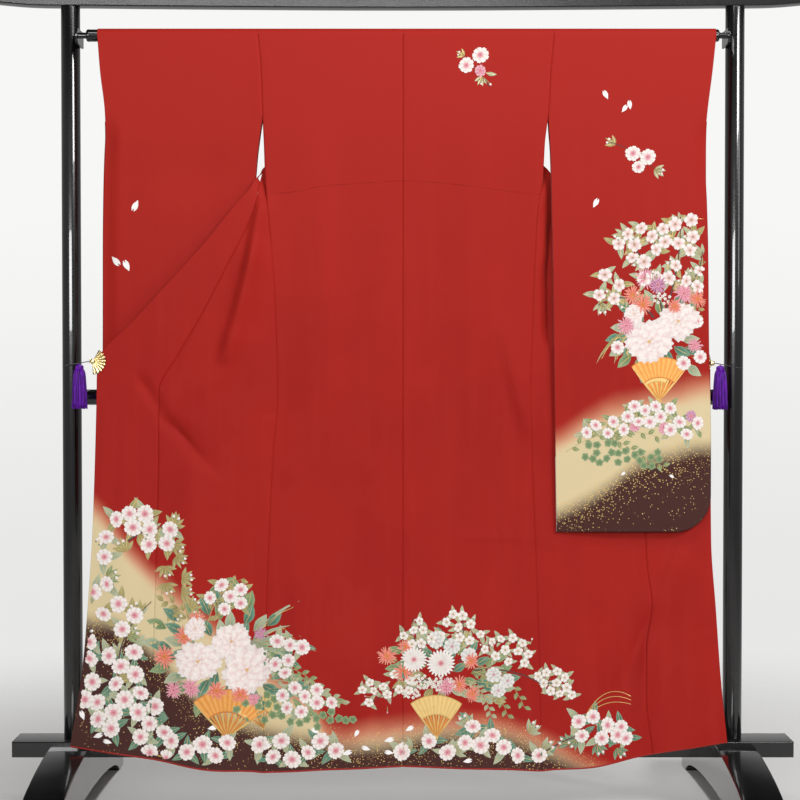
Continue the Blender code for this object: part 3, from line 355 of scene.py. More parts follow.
# Finer creases that the fronts, back and sleeves have besides, in the same columns
creases = [
    (-0.180, 1.30, -0.150, 1.02, 0.016, 0.022, 0.0016),
    (0.060, 1.33, 0.080, 1.10, 0.020, 0.026, -0.0014),
    (-0.250, 0.98, -0.262, 0.70, 0.012, 0.016, -0.0014),
    (-0.060, 0.90, -0.055, 0.50, 0.030, 0.035, 0.0016),
    (0.180, 0.80, 0.200, 0.45, 0.020, 0.030, -0.0018),
    (-0.3594, 0.968, -0.445, 0.925, 0.026, 0.024, 0.0036),
    (0.228, 1.00, 0.292, 0.80, 0.026, 0.050, 0.0050),
    (0.120, 0.606, 0.300, 0.600, 0.006, 0.014, 0.0012),
    (0.345, 0.600, 0.440, 0.594, 0.005, 0.012, 0.0011),
    (-0.305, 0.872, -0.268, 0.876, 0.004, 0.005, -0.0012),
    (0.592, 0.650, 0.578, 0.590, 0.007, 0.010, -0.0025),
    (0.552, 0.470, 0.505, 0.360, 0.010, 0.016, -0.0025),
    (0.640, 0.400, 0.680, 0.415, 0.004, 0.006, -0.0010),
]
# Folds with a sharp crest, or a sharp trough where they are sunk, in the same columns
crests = [
    (-0.3005, 1.330, -0.3225, 1.220, 0.022, 0.080, 0.0055),
    (-0.3205, 1.225, -0.3502, 1.102, 0.042, 0.090, 0.0122),
    (-0.3502, 1.105, -0.3733, 0.985, 0.038, 0.080, 0.0070),
    (-0.5188, 0.862, -0.4561, 0.812, 0.014, 0.036, -0.0050),
    (-0.4700, 0.822, -0.3934, 0.738, 0.020, 0.050, -0.0048),
    (-0.5708, 0.958, -0.5240, 0.875, 0.012, 0.024, -0.0028),
    (0.3200, 1.290, 0.3120, 1.170, 0.015, 0.030, -0.0140),
    (0.3120, 1.180, 0.3140, 1.030, 0.020, 0.030, -0.0150),
    (0.5935, 0.572, 0.5432, 0.445, 0.034, 0.060, 0.0085),
    (0.5432, 0.455, 0.5250, 0.320, 0.022, 0.040, 0.0040),
]
sleeveCreases = [
    (-0.420, 1.50, -0.430, 0.95, 0.030, 0.040, -0.0012),
    (-0.560, 1.30, -0.570, 0.75, 0.025, 0.035, 0.0011),
    (0.460, 1.45, 0.450, 0.90, 0.030, 0.040, -0.0011),
    (0.590, 1.20, 0.600, 0.72, 0.026, 0.030, 0.0010),
]
# How the collar lies across the opening edge on its way through the slit, where it is bunched.
# Columns: length down the cloth, x outwards, z, y of the direction from the edge across the collar
turnLeft = [
    (0.270, -0.75, -0.66, 0.00),
    (0.300, -0.40, -0.45, 0.80),
    (0.320, 0.10, 0.10, 0.98),
    (0.338, 0.28, 0.25, 0.93),
    (0.360, -0.08, 0.05, 0.98),
    (0.380, 0.00, 0.00, 1.00),
    (0.400, -0.50, -0.50, 0.70),
    (0.425, -0.70, -0.70, 0.10),
]
turnRight = [
    (0.270, -0.75, -0.66, 0.00),
    (0.300, -0.50, -0.50, 0.70),
    (0.320, -0.20, -0.20, 0.96),
    (0.380, -0.10, -0.10, 0.98),
    (0.400, -0.50, -0.50, 0.70),
    (0.425, -0.70, -0.70, 0.10),
]
# Collar width along the opening edge. Columns: length down the cloth, width
collarWidths = Table([
    (0.020, collarWidth),
    (0.215, collarWidth),
    (0.260, 0.040),
    (0.295, 0.012),
    (0.320, 0.009),
    (0.385, 0.009),
    (0.410, 0.013),
    (0.470, 0.038),
    (0.520, collarWidth),
    (0.800, collarWidth),
])
# Free edge of the collar round the neck. Columns: length down the cloth, x outwards, height
neckFree = Table([
    (0.031, 0.018, 1.6245),
    (0.036, 0.030, 1.6235),
    (0.044, 0.040, 1.6210),
    (0.060, 0.050, 1.6120),
    (0.100, 0.069, 1.5860),
])


def foldHeight(x, z, rows, crisp=False):
    # how far the folds bring the cloth towards the viewer, with sharp crests if they are crisp
    total = np.zeros(np.broadcast(x, z).shape)
    for topX, topZ, lowX, lowZ, left, right, height in rows:
        runX, runZ = lowX - topX, lowZ - topZ
        length = math.hypot(runX, runZ)
        along = ((x - topX) * runX + (z - topZ) * runZ) / length
        across = ((z - topZ) * runX - (x - topX) * runZ) / length
        ease = 0.28 * length
        ends = smoothStep((along + ease) / (2 * ease)) * smoothStep((length + ease - along) / (2 * ease))
        width = np.where(across > 0, right, left)
        away = np.abs(across) / width
        shape = np.maximum(0, 1 - away) ** 1.4 if crisp else np.exp(-away ** 2)
        total = total + height * ends * shape
    return total


class Side:  # one half of the garment
    def __init__(self, name, sign, overlapStart, back, frontSide, frontInner, opening, fan,
                 sleeve, turn):
        self.name, self.sign = name, sign
        self.overlapStart = overlapStart
        self.back = Table(back)
        self.frontSide = Table(frontSide + [row for row in back if row[0] > slitEnd - 0.001])
        self.frontInner = Table(frontInner)
        self.opening = Table(opening)
        self.fan = Table(fan)
        self.sleeve = Table(sleeve)
        self.turn = Table(turn)
        self.seamByHeight = Table([(z, x, y) for _, x, z, y in reversed(back)])

    def depth(self, x, z):
        # the hung back, and the front past the side seam, with their folds
        x, z = np.asarray(x, float), np.asarray(z, float)
        seamX, seamY = self.seamByHeight(z)
        centreY = centreCurve(z)[0]
        fanY, width = self.fan(z)
        share = x / seamX
        inner = centreY + (seamY - centreY) * share
        outer = seamY + (fanY - seamY) * smoothStep(np.abs(x - seamX) / width)
        fade = smoothStep((1.60 - z) / 0.20)
        creased = (foldHeight(x, z, creases) +
                   foldHeight(x, z, crests, True)) * smoothStep((1.675 - z) / 0.10)
        return np.where(share <= 1, inner, outer) - foldHeight(x, z, folds) * fade - creased

    def sleeveDepth(self, x, z, far):
        # either wall of the sleeve
        inner, outer, middle, half = self.sleeve(z)
        length = rodZ + wrap - z
        rise = z - sleeveBottom
        outer = outer - self.sign * cornerCut(rise)
        closed = smoothStep((length - cuffOpening + 0.02) / 0.075)
        fromEdge = smoothStep(np.abs(outer - x) / 0.035)
        opened = np.minimum(1 - closed * (1 - fromEdge), smoothStep(rise / 0.035))
        deep = sleeveEdgeHalf + (half - sleeveEdgeHalf) * opened
        side = 1 if far else -1
        crease = foldHeight(self.sign * np.abs(x), z, sleeveCreases) * smoothStep((1.66 - z) / 0.1)
        return middle + side * (deep + crease * smoothStep(np.abs(outer - x) / 0.05))


def cornerCut(rise):
    # how much the rounded bottom corner takes off the sleeve's width
    reach = np.clip(sleeveCorner - rise, 0, sleeveCorner)
    return sleeveCorner - np.sqrt(sleeveCorner ** 2 - reach ** 2)


sleeveBottom = rodZ + wrapR - sleeveLength
centreCurve = Table(centreDepth)
left = Side("left", -1, 0.345, sideLeft, frontSideLeft, frontInnerLeft, openingLeft, fanLeft,
            sleeveLeft, turnLeft)
right = Side("right", 1, 0.375, sideRight, frontSideRight, frontInnerRight, openingRight, fanRight,
             sleeveRight, turnRight)
sides = (left, right)


def lengthsAlong(*stops):
    # rows from each stop to the next at the spacing given with it
    rows = []
    for (start, spacing), (end, _) in zip(stops, stops[1:]):
        rows += list(np.linspace(start, end, max(1, round((end - start) / spacing)), endpoint=False))
    return np.array(rows + [stops[-1][0]])


def sharesAcross(width):
    # columns from edge to edge, close together beside both seams
    edge = np.array([0, 0.0011, 0.0024, 0.0045]) / width
    inside = np.linspace(edge[-1], 1 - edge[-1], round(width / cloth["across"]))
    return np.concatenate([edge[:-1], inside, 1 - edge[:-1][::-1]])


def between(start, end, shares, startGap, endGap):
    # rows of points between two edges, each drawn in by its seam's gap
    along = end - start
    unit = along / np.linalg.norm(along, axis=-1, keepdims=True)
    start, end = start + unit * startGap, end - unit * endGap
    return start[:, None, :] + (end - start)[:, None, :] * shares[None, :, None]


def stacked(*columns):
    return np.stack(np.broadcast_arrays(*columns), axis=-1).astype(float)


def seamRounding(points, atStart, atEnd):
    # sewn edges are drawn in towards the far side of the hung cloth
    for use, edge in ((atStart, points[:, :1]), (atEnd, points[:, -1:])):
        if use:
            away = np.linalg.norm(points - edge, axis=-1)
            points[:, :, 1] += cloth["seamDip"] * np.exp(-((away / cloth["seamSoft"]) ** 2))
    return points


def gridFaces(rows, columns, first=0):
    # squares between points numbered row by row
    return [(first + i * columns + j, first + (i + 1) * columns + j, first + (i + 1) * columns + j + 1,
             first + i * columns + j + 1) for i in range(rows - 1) for j in range(columns - 1)]


def addPiece(name, data, finishes, replaced=()):
    piece = bpy.data.objects.new(name, data)
    bpy.context.scene.collection.objects.link(piece)
    for finish in finishes:
        data.materials.append(finish)
    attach(piece, "root")
    if replaced:
        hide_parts(*replaced)
    return piece


def addCloth(name, points, faces, wall, finishes, replaced, rounded=0.0):
    # a middle surface thickened to both sides: outer cloth, lining and the edge between them
    mesh = bpy.data.meshes.new(name)
    points = np.array(points, float).reshape(-1, 3)
    points[:, 1] += rodY
    mesh.from_pydata(points.tolist(), [], faces)
    made = bmesh.new()
    made.from_mesh(mesh)
    bmesh.ops.delete(made, geom=[point for point in made.verts if not point.link_faces], context="VERTS")
    made.to_mesh(mesh)
    made.free()
    mesh.shade_smooth()
    piece = addPiece(name, mesh, finishes, replaced)
    thick = piece.modifiers.new("thickness", "SOLIDIFY")
    thick.thickness = wall
    thick.offset = 0.0
    thick.material_offset = 1
    thick.material_offset_rim = 2
    if rounded:
        soft = piece.modifiers.new("roundedEdges", "BEVEL")
        soft.width = rounded
        soft.segments = 2
        soft.angle_limit = math.radians(60)
    return piece


overLengths = np.linspace(-wrap, wrap, cloth["overSteps"] + 1)[1:-1]


def overRod(xs, length):
    # over the rod: negative lengths are on the viewer's side
    turn = np.asarray(length) / wrapR
    return stacked(xs, wrapR * np.sin(turn), rodZ + wrapR * np.cos(turn))


def backRows(side, lengths, shares):
    x, z = side.back(lengths)[:2]
    middle = rodZ - (lengths - wrap) * (rodZ - hemMiddle) / (bodyLength - wrap)
    rows = between(stacked(x, 0, z), stacked(0, 0, middle), shares, 0, cloth["seamGap"])
    rows[:, :, 1] = side.depth(rows[:, :, 0], rows[:, :, 2])
    return seamRounding(rows, True, True)


def opened(length):
    return smoothStep((length - openedFrom) / (openedBy - openedFrom))


def frontRows(side, lengths, shares):
    x, z, y = side.frontSide(lengths)
    innerX, innerZ, innerY = side.frontInner(lengths)
    rows = between(stacked(x, y, z), stacked(innerX, innerY, innerZ), shares, 0, cloth["seamGap"])
    sag = hemSag * smoothStep((lengths - 1.2) / 0.4)
    rows[:, :, 2] -= sag[:, None] * np.sin(math.pi * shares) ** 2
    hung = side.depth(rows[:, :, 0], rows[:, :, 2])
    rows[:, :, 1] += opened(lengths)[:, None] * (hung - rows[:, :, 1])
    return seamRounding(rows, True, True)


def makeBody(side, finishes):
    # back and front in one length over the rod, sewn to each other below the slit
    shares = sharesAcross(cloth["bodyWide"])
    roll, fine = cloth["hemRoll"], cloth["finer"]
    sewn = [(slitEnd, fine), (cloth["finerTo"], cloth["down"]), (bodyLength - roll, roll), (bodyLength, roll)]
    down = [(wrap, 0.004), (0.060, cloth["down"])] + sewn
    frontDown = [(wrap, 0.0016), (0.046, 0.004), (0.070, cloth["down"]), (0.265, fine)] + sewn
    count = len(overLengths)
    top = between(stacked(np.full(count, side.back(wrap)[0]), 0, 0),
                  stacked(np.full(count, side.sign * cloth["seamGap"]), 0, 0), shares, cloth["seamGap"], 0)
    parts = [backRows(side, lengthsAlong(*down)[::-1], shares),
             overRod(top[:, :, 0], overLengths[:, None]),
             frontRows(side, lengthsAlong(*frontDown), shares)]
    rows = np.concatenate(parts)
    count, columns = rows.shape[:2]
    number = np.arange(count * columns).reshape(count, columns)
    shared = len(lengthsAlong(*sewn))
    number[count - shared:, 0] = number[:shared, 0][::-1]
    if side.sign < 0:
        number = number[:, ::-1]
    faces = [(number[i, j], number[i + 1, j], number[i + 1, j + 1], number[i, j + 1])
             for i in range(count - 1) for j in range(columns - 1)]
    name = f"body_{side.name}"
    piece = addCloth(f"{name}_cloth", rows, faces, cloth["wall"], finishes, [name])
    last = len(faces) - (columns - 1)
    for face in piece.data.polygons:
        if face.index < columns - 1 or face.index >= last:
            face.material_index = 2
    return piece


def makeOverlap(side, finishes):
    shares = sharesAcross(cloth["overlapWide"])
    roll = cloth["hemRoll"]
    lengths = lengthsAlong((overlapTop[side.name], cloth["finer"]), (cloth["finerTo"], cloth["down"]),
                           (bodyLength - roll, roll), (bodyLength, roll))
    x, z, y = side.frontInner(lengths)
    edgeX, edgeZ, edgeY = side.opening(lengths)
    gap = cloth["seamGap"]
    rows = between(stacked(x, y, z), stacked(edgeX, edgeY, edgeZ), shares, gap, gap)
    hung = side.depth(rows[:, :, 0], rows[:, :, 2])
    rows[:, :, 1] += opened(lengths)[:, None] * (hung - rows[:, :, 1])
    rows = seamRounding(rows, True, False)
    if side.sign < 0:
        rows = rows[:, ::-1]
    name = f"overlap_{side.name}"
    faces = gridFaces(*rows.shape[:2])
    piece = addCloth(f"{name}_cloth", rows, faces, cloth["wall"], finishes, [name])
    last = len(faces) - (rows.shape[1] - 1)
    for face in piece.data.polygons:
        if face.index >= last:
            face.material_index = 2
    return piece


def sleeveRows(side, heights, shares, far):
    inner, outer = side.sleeve(heights)[:2]
    lengths = rodZ + wrap - heights
    seam = (side.frontSide if far else side.back)(lengths)
    sewn = lengths < armhole + 0.001
    inner = np.where(sewn, seam[0] + side.sign * cloth["seamGap"], inner)
    outer = outer - side.sign * cornerCut(heights - sleeveBottom)
    x = inner[:, None] + (outer - inner)[:, None] * shares
    z = np.broadcast_to(heights[:, None], x.shape).copy()
    y = side.sleeveDepth(x, z, far)
    # beside the armhole the wall comes to the body's edge
    pull = (1 - smoothStep(np.abs(x - inner[:, None]) / 0.03)) * smoothStep((armhole + 0.02 - lengths) /
                                                                            0.03)[:, None]
    y += pull * (seam[2][:, None] - y[:, :1])
    rows = stacked(x, y, z)
    dip = cloth["seamDip"] * np.exp(-((np.abs(x - inner[:, None]) / cloth["seamSoft"]) ** 2)) * sewn[:, None]
    rows[:, :, 1] += -dip if far else dip
    return rows


def makeSleeve(side, finishes):
    shares = sharesAcross(cloth["sleeveWide"])
    corner = np.radians(np.linspace(0, 90, 15))
    low = sleeveBottom + sleeveCorner * (1 - np.cos(corner))
    heights = np.concatenate([low[:-1], lengthsAlong((low[-1], cloth["down"]), (rodZ, 1))])
    near = sleeveRows(side, heights, shares, False)
    far = sleeveRows(side, heights, shares, True)[::-1]
    top = overRod(np.broadcast_to(near[-1, :, 0], (len(overLengths), len(shares))), overLengths[:, None])
    rows = np.concatenate([near, top, far])
    count, columns = rows.shape[:2]
    points = [list(p) for p in rows.reshape(-1, 3)]
    faces = gridFaces(count, columns)
    # the closed bottom and, below the cuff's opening, the closed cuff edge
    closedRows = [i for i, z in enumerate(heights) if rodZ + wrap - z >= cuffOpening]
    outline = [(j, (count - 1) * columns + j) for j in range(columns)]
    outline += [(i * columns + columns - 1, (count - 1 - i) * columns + columns - 1) for i in closedRows[1:]]
    strips = []
    for k, (a, b) in enumerate(outline):
        before = Vector(points[outline[max(k - 1, 0)][0]])
        after = Vector(points[outline[min(k + 1, len(outline) - 1)][0]])
        along = (after - before).normalized()
        outward = Vector((along.z, 0, -along.x)) * side.sign
        start, end = Vector(points[a]), Vector(points[b])
        strip = [a]
        for share in (0.25, 0.5, 0.75):
            place = start.lerp(end, share) + outward * (0.0022 * math.sin(math.pi * share))
            strip.append(len(points))
            points.append(list(place))
        strips.append(strip + [b])
    for before, after in zip(strips, strips[1:]):
        for j in range(4):
            faces.append((before[j], after[j], after[j + 1], before[j + 1]))
    if side.sign > 0:
        faces = [face[::-1] for face in faces]
    name = f"sleeve_{side.name}"
    return addCloth(f"{name}_cloth", points, faces, cloth["wall"], finishes, [name])


def frontEdge(side, length):
    # the front's whole opening edge, neck to hem, which the collar follows
    table = side.frontInner if length < side.overlapStart else side.opening
    x, z, y = table(length)
    y = y + opened(length) * (side.depth(x, z) - y)
    return Vector((float(x), float(y), float(z)))


def collarDirection(side, length):
    # across the collar, away from the opening edge: past the front above, behind it below
    if 0.270 < length < 0.425:
        x, z, y = side.turn(length)
        return Vector((side.sign * x, y, z)).normalized()
    step = 0.004
    tangent = (frontEdge(side, length + step) - frontEdge(side, length - step)).normalized()
    across = Vector((-side.sign, 0, -1))
    return (across - tangent * across.dot(tangent)).normalized()


def neckCollarRow(side, length, shares):
    point = frontEdge(side, length)
    across = collarDirection(side, length)
    start = point + across * (0.0004 + 0.45 * cloth["collarWall"] * abs(across.y))
    end = start + across * float(collarWidths(length)[0])
    if length < 0.1:
        x, z = neckFree(length)
        free = Vector((side.sign * x, point.y + 0.001, z))
        end = free.lerp(end, float(smoothStep((length - 0.06) / 0.04)))
        start = point + (end - point).normalized() * 0.0004
    return [start.lerp(end, t) for t in shares]


def endCollarRow(side, length, shares):
    # collar turned back behind the opened front, which it follows closely
    point = frontEdge(side, length)
    across = collarDirection(side, length)
    turnedBack = float(smoothStep((length - 0.358) / 0.045))
    start = point + across * ((0.0006 + 0.45 * cloth["collarWall"] * abs(across.y)) * (1 - turnedBack))
    start.y += collarBehind * turnedBack
    row = []
    for t in shares:
        p = start + across * (float(collarWidths(length)[0]) * t)
        behind = float(side.depth(p.x, p.z)) + collarBehind
        p.y += float(smoothStep((length - 0.385) / 0.04)) * (behind - p.y)
        row.append(p)
    return row


def makeCollars(finishes):
    shares = np.linspace(0, 1, 9)
    lengths = lengthsAlong((0.031, 0.005), (0.060, 0.010), (0.250, 0.005), (collarSplit, 1))
    rows = [neckCollarRow(left, length, shares) for length in lengths[::-1]]
    top = Vector((0, wrapR + 0.0012, rodZ - 0.0055))
    rows.append([top + Vector((0, 0.001 * t, -collarWidth * t)) for t in shares])
    rows += [neckCollarRow(right, length, shares) for length in lengths]
    points = [p for row in rows for p in row[::-1]]
    pieces = [addCloth("collar_neck_cloth", points, gridFaces(len(rows), len(shares)), cloth["collarWall"],
                       finishes, ["collar_neck"], collarSoft)]
    for side in sides:
        lengths = lengthsAlong((collarSplit + 0.0006, 0.005), (0.470, 0.010), (collarEnd, 1))
        rows = [endCollarRow(side, length, shares)[::side.sign * -1] for length in lengths]
        points = [p for row in rows for p in row]
        pieces.append(addCloth(f"collar_{side.name}_cloth", points, gridFaces(len(rows), len(shares)),
                               cloth["collarWall"], finishes, [f"collar_{side.name}"], collarSoft))
    return pieces


# Materials: one class for a socket, so that sums are written as sums, and one for a material
class Value:
    def __init__(self, paint, socket):
        self.paint, self.socket = paint, socket

    def maths(self, operation, *terms):
        return self.paint.node("Math", {"operation": operation}, dict(enumerate(terms)))

    def __add__(self, other):
        return self.maths("ADD", self, other)

    def __radd__(self, other):
        return self.maths("ADD", other, self)

    def __sub__(self, other):
        return self.maths("SUBTRACT", self, other)

    def __rsub__(self, other):
        return self.maths("SUBTRACT", other, self)

    def __mul__(self, other):
        return self.maths("MULTIPLY", self, other)

    def __truediv__(self, other):
        return self.maths("DIVIDE", self, other)

    def size(self):
        return self.maths("ABSOLUTE", self)

    def root(self):
        return self.maths("SQRT", self)

    def larger(self, other):
        return self.maths("MAXIMUM", self, other)

    def smaller(self, other):
        return self.maths("MINIMUM", self, other)

    def rises(self, start, end):
        # 0 below start and 1 past end, with a smooth slope between
        return self.paint.node("MapRange", {"interpolation_type": "SMOOTHSTEP"},
                               {"Value": self, "From Min": start, "From Max": end})


class Paint:
    def __init__(self, name, **constants):
        self.material = bpy.data.materials.new(name)
        self.material.use_nodes = True
        self.tree = self.material.node_tree
        self.shader = self.tree.nodes["Principled BSDF"]
        for key, value in constants.items():
            self.shader.inputs[key.replace("_", " ")].default_value = value

    def node(self, kind, settings=None, sockets=None, out=0):
        made = self.tree.nodes.new("ShaderNode" + kind)
        for key, value in (settings or {}).items():
            if key == "stops":
                ramp = made.color_ramp.elements
                while len(ramp) < len(value):
                    ramp.new(0.5)
                for stop, (place, colour) in zip(ramp, value):
                    stop.position, stop.color = place, (*colour, 1)
            elif key == "line":
                curve = made.mapping.curves[0]
                while len(curve.points) < len(value):
                    curve.points.new(0.5, 0.5)
                for point, place in zip(curve.points, value):
                    point.location = place
                made.mapping.update()
            else:
                setattr(made, key, value)
        for key, value in (sockets or {}).items():
            self.link(made.inputs[key], value)
        return Value(self, made.outputs[out])

    def link(self, socket, value):
        if isinstance(value, Value):
            self.tree.links.new(value.socket, socket)
        elif isinstance(value, tuple) and len(value) == 3 and socket.type == "RGBA":
            socket.default_value = (*value, 1)
        else:
            socket.default_value = value

    def place(self):
        # the point's own place on the object
        return self.node("TexCoord", out="Object")

    def axis(self, where, i):
        return self.node("SeparateXYZ", None, {0: where}, out=i)

    def noise(self, where, scale, detail=2.0, rough=0.5, stretch=None):
        if stretch:
            where = self.node("Mapping", None, {"Vector": where, "Scale": stretch})
        return self.node("TexNoise", None, {"Vector": where, "Scale": scale, "Detail": detail,
                                            "Roughness": rough})

    def mix(self, share, a, b, blend="MIX"):
        # sockets 6 and 7 are the colours of a Mix node
        return self.node("Mix", {"data_type": "RGBA", "blend_type": blend}, {0: share, 6: a, 7: b}, out=2)

    def curve(self, value, low, high, line):
        # a height in metres read from a drawn line over x from low to high
        top = max(z for _, z in line) * 1.1
        drawn = [((x - low) / (high - low), z / top) for x, z in line]
        return self.node("FloatCurve", {"line": drawn}, {"Value": (value - low) / (high - low)}) * top

    def bump(self, height, distance, strength=1.0, under=None):
        sockets = {"Height": height, "Distance": distance, "Strength": strength}
        if under:
            sockets["Normal"] = under
        return self.node("Bump", None, sockets)

    def wear(self, **links):
        for key, value in links.items():
            self.link(self.shader.inputs[key.replace("_", " ")], value)
        return self.material


# Colours of the dyed silk, as a painter would mix them (linear values); redLight also serves as painted light
# on the crepe's upper part
dyes = {
    "red": (0.348, 0.0134, 0.0092),
    "redLight": (0.372, 0.0172, 0.0115),
    "redDeep": (0.322, 0.0118, 0.0085),
    "blush": (0.70, 0.30, 0.17),
    "cream": (0.66, 0.54, 0.32),
    "brown": (0.062, 0.0230, 0.0195),
    "gold": (0.72, 0.50, 0.19),
    "liningWhite": (0.86, 0.84, 0.80),
    "liningRed": (0.35, 0.016, 0.012),
}
liningSeam = 0.78
# Mists on the hem and the sleeve: the range of x that they cover, the heights of their upper edges
# along it, and over how much height these edges fade
mists = {
    "hem": {
        "range": (-0.76, 0.76),
        "cream": [(-0.76, 0.760), (-0.66, 0.676), (-0.565, 0.560), (-0.470, 0.472), (-0.345, 0.368),
                  (-0.240, 0.280), (-0.190, 0.240), (-0.150, 0.186), (-0.050, 0.196), (0.110, 0.214),
                  (0.290, 0.178), (0.400, 0.122), (0.520, 0.080), (0.76, 0.060)],
        "brown": [(-0.76, 0.452), (-0.680, 0.434), (-0.608, 0.419), (-0.543, 0.365), (-0.458, 0.280),
                  (-0.370, 0.214), (-0.220, 0.182), (-0.090, 0.160), (0.080, 0.186), (0.210, 0.182),
                  (0.300, 0.152), (0.400, 0.108), (0.520, 0.060), (0.76, 0.040)],
    },
    "sleeve": {
        "range": (0.30, 0.70),
        "cream": [(0.30, 0.800), (0.350, 0.832), (0.425, 0.881), (0.532, 0.913), (0.70, 0.940)],
        "brown": [(0.30, 0.648), (0.350, 0.668), (0.425, 0.708), (0.511, 0.769), (0.600, 0.795),
                  (0.70, 0.806)],
    },
    "creamFade": (-0.034, 0.040),
    "brownFade": (-0.024, 0.030),
    "blushFade": (-0.012, 0.050),
}
# The tuck line across the back: its range of x, and its heights along it
tuckRange = (-0.31, 0.31)
tuckLine = [(-0.31, 1.3462), (-0.242, 1.3477), (-0.178, 1.3595), (-0.113, 1.3659), (-0.023, 1.3712),
            (0.003, 1.3723), (0.101, 1.3659), (0.208, 1.3530), (0.31, 1.3415)]


def crepeGrain(paint, where):
    # fine twisted-thread grain of silk crepe
    pebbles = paint.noise(where, 1500, 2, 0.6, (1, 1, 0.55))
    threads = paint.noise(where, 620, 1, 0.5, (1, 1, 3.2))
    return paint.bump(pebbles * 0.6 + threads * 0.4, 0.00035, 0.55)


def goldDust(paint, where, density):
    # scattered specks, thicker where density is high
    cells, chosen = [paint.node("TexVoronoi", None, {"Vector": where, "Scale": 300}, out=i) for i in range(2)]
    pick, size = [paint.node("SeparateColor", None, {0: chosen}, out=i) for i in range(2)]
    reach = 0.16 + size * 0.30
    speck = 1 - cells.rises(reach * 0.7, reach)
    return (speck * (1 - pick.rises(density - 0.02, density + 0.02))).smaller(1)


def makeCrepe(name, mistKind):
    paint = Paint(name, Sheen_Weight=0.06, Sheen_Roughness=0.45, Sheen_Tint=(1.0, 0.60, 0.52, 1),
                  Specular_IOR_Level=0.10)
    where = paint.place()
    x = paint.axis(where, 0)
    z = paint.axis(where, 2)
    cloud = paint.noise(where, 5.0, 3, 0.55)
    streak = paint.noise(where, 34, 2, 0.5, (1, 1, 0.10))
    red = paint.mix(cloud.rises(0.38, 0.66), dyes["redDeep"], dyes["red"])
    red = paint.mix(streak.rises(0.45, 0.70) * 0.35, red, dyes["redLight"])
    # painted light: the crepe turns to the lighter red towards the top, where the lamps fall stronger
    red = paint.mix(z.rises(0.9, 1.7), red, dyes["redLight"])
    tone, rough, metal = red, 0.62, None
    if mistKind:
        wander = (paint.noise(where, 9, 2, 0.5) - 0.5) * 0.030
        mist = mists[mistKind]
        creamTop = paint.curve(x, *mist["range"], mist["cream"]) + wander
        brownTop = paint.curve(x, *mist["range"], mist["brown"]) + wander * 0.5
        cream = (creamTop - z).rises(*mists["creamFade"])
        brown = (brownTop - z).rises(*mists["brownFade"])
        blush = paint.mix((creamTop - z).rises(*mists["blushFade"]), dyes["blush"], dyes["cream"])
        tone = paint.mix(cream, red, blush)
        tone = paint.mix(brown, tone, dyes["brown"])
        edge = (1 - (brownTop - z - 0.010) / 0.085).smaller((brownTop - z).rises(-0.05, 0.0)).larger(0.12)
        patchy = paint.noise(where, 28, 3, 0.6).rises(0.30, 0.62)
        dust = goldDust(paint, where, edge * (0.55 + patchy * 0.45)) * (brownTop - z).rises(-0.05, -0.01)
        tone = paint.mix(dust, tone, dyes["gold"])
        rough = 0.62 - dust * 0.27
        metal = dust * 0.8
    grain = crepeGrain(paint, where)
    if mistKind == "hem":
        # the tuck sewn inside makes a faint broken line across the back: painted shade along the step it
        # makes in the cloth, darkening the red, with a bump for the step
        tuck = z - paint.curve(x, *tuckRange, tuckLine)
        faint = paint.noise(where, 26, 2, 0.5).rises(0.34, 0.60) * 0.7 + 0.3
        line = (1 - tuck.size().rises(0.0002, 0.0016)) * faint * (1 - x.size().rises(0.294, 0.298))
        # painted shade: the red darkened along the tuck's step
        tone = paint.mix(line * 0.40, tone, (0.18, 0.006, 0.006))
        grain = paint.bump(line * -1, 0.0006, 0.6, grain)
    links = {"Base_Color": tone, "Roughness": rough, "Normal": grain}
    if metal:
        links["Metallic"] = metal
    return paint.wear(**links)


def makeLining(name):
    # red above its seam and plain white silk below
    paint = Paint(name, Sheen_Weight=0.15, Sheen_Roughness=0.4, Specular_IOR_Level=0.4)
    where = paint.place()
    z = paint.axis(where, 2)
    weave = paint.noise(where, 900, 1, 0.5)
    soft = paint.noise(where, 9, 2, 0.5)
    white = paint.mix(soft.rises(0.35, 0.7) * 0.5, dyes["liningWhite"], (0.76, 0.73, 0.70))
    tone = paint.mix(z.rises(liningSeam + 0.001, liningSeam - 0.001), dyes["liningRed"], white)
    seam = 1 - (z - liningSeam).size().rises(0.0004, 0.0012)
    tone = paint.mix(seam * 0.5, tone, (0.25, 0.10, 0.09))
    return paint.wear(Base_Color=tone, Roughness=0.48 + soft * 0.1, Normal=paint.bump(weave, 0.0002, 0.4))


def makePiping(name):
    paint = Paint(name, Sheen_Weight=0.2, Specular_IOR_Level=0.3)
    where = paint.place()
    tone = paint.mix(paint.noise(where, 60, 2, 0.5), dyes["redDeep"], dyes["redLight"])
    return paint.wear(Base_Color=tone, Roughness=0.6, Normal=crepeGrain(paint, where))


def makeDyedPaint(name):
    # colours and gilding carried by the painted shapes themselves
    paint = Paint(name, Sheen_Weight=0.05, Specular_IOR_Level=0.15)
    where = paint.place()
    tone = paint.node("Attribute", {"attribute_name": "paint"})
    gilding = paint.node("Attribute", {"attribute_name": "gilding"}, out=2)
    soak = paint.noise(where, 120, 3, 0.6)
    tone = paint.mix(soak.rises(0.45, 0.75) * 0.22, tone, (0.55, 0.42, 0.36), "MULTIPLY")
    return paint.wear(Base_Color=tone, Metallic=gilding, Roughness=0.62 - gilding * 0.34,
                      Normal=crepeGrain(paint, where))


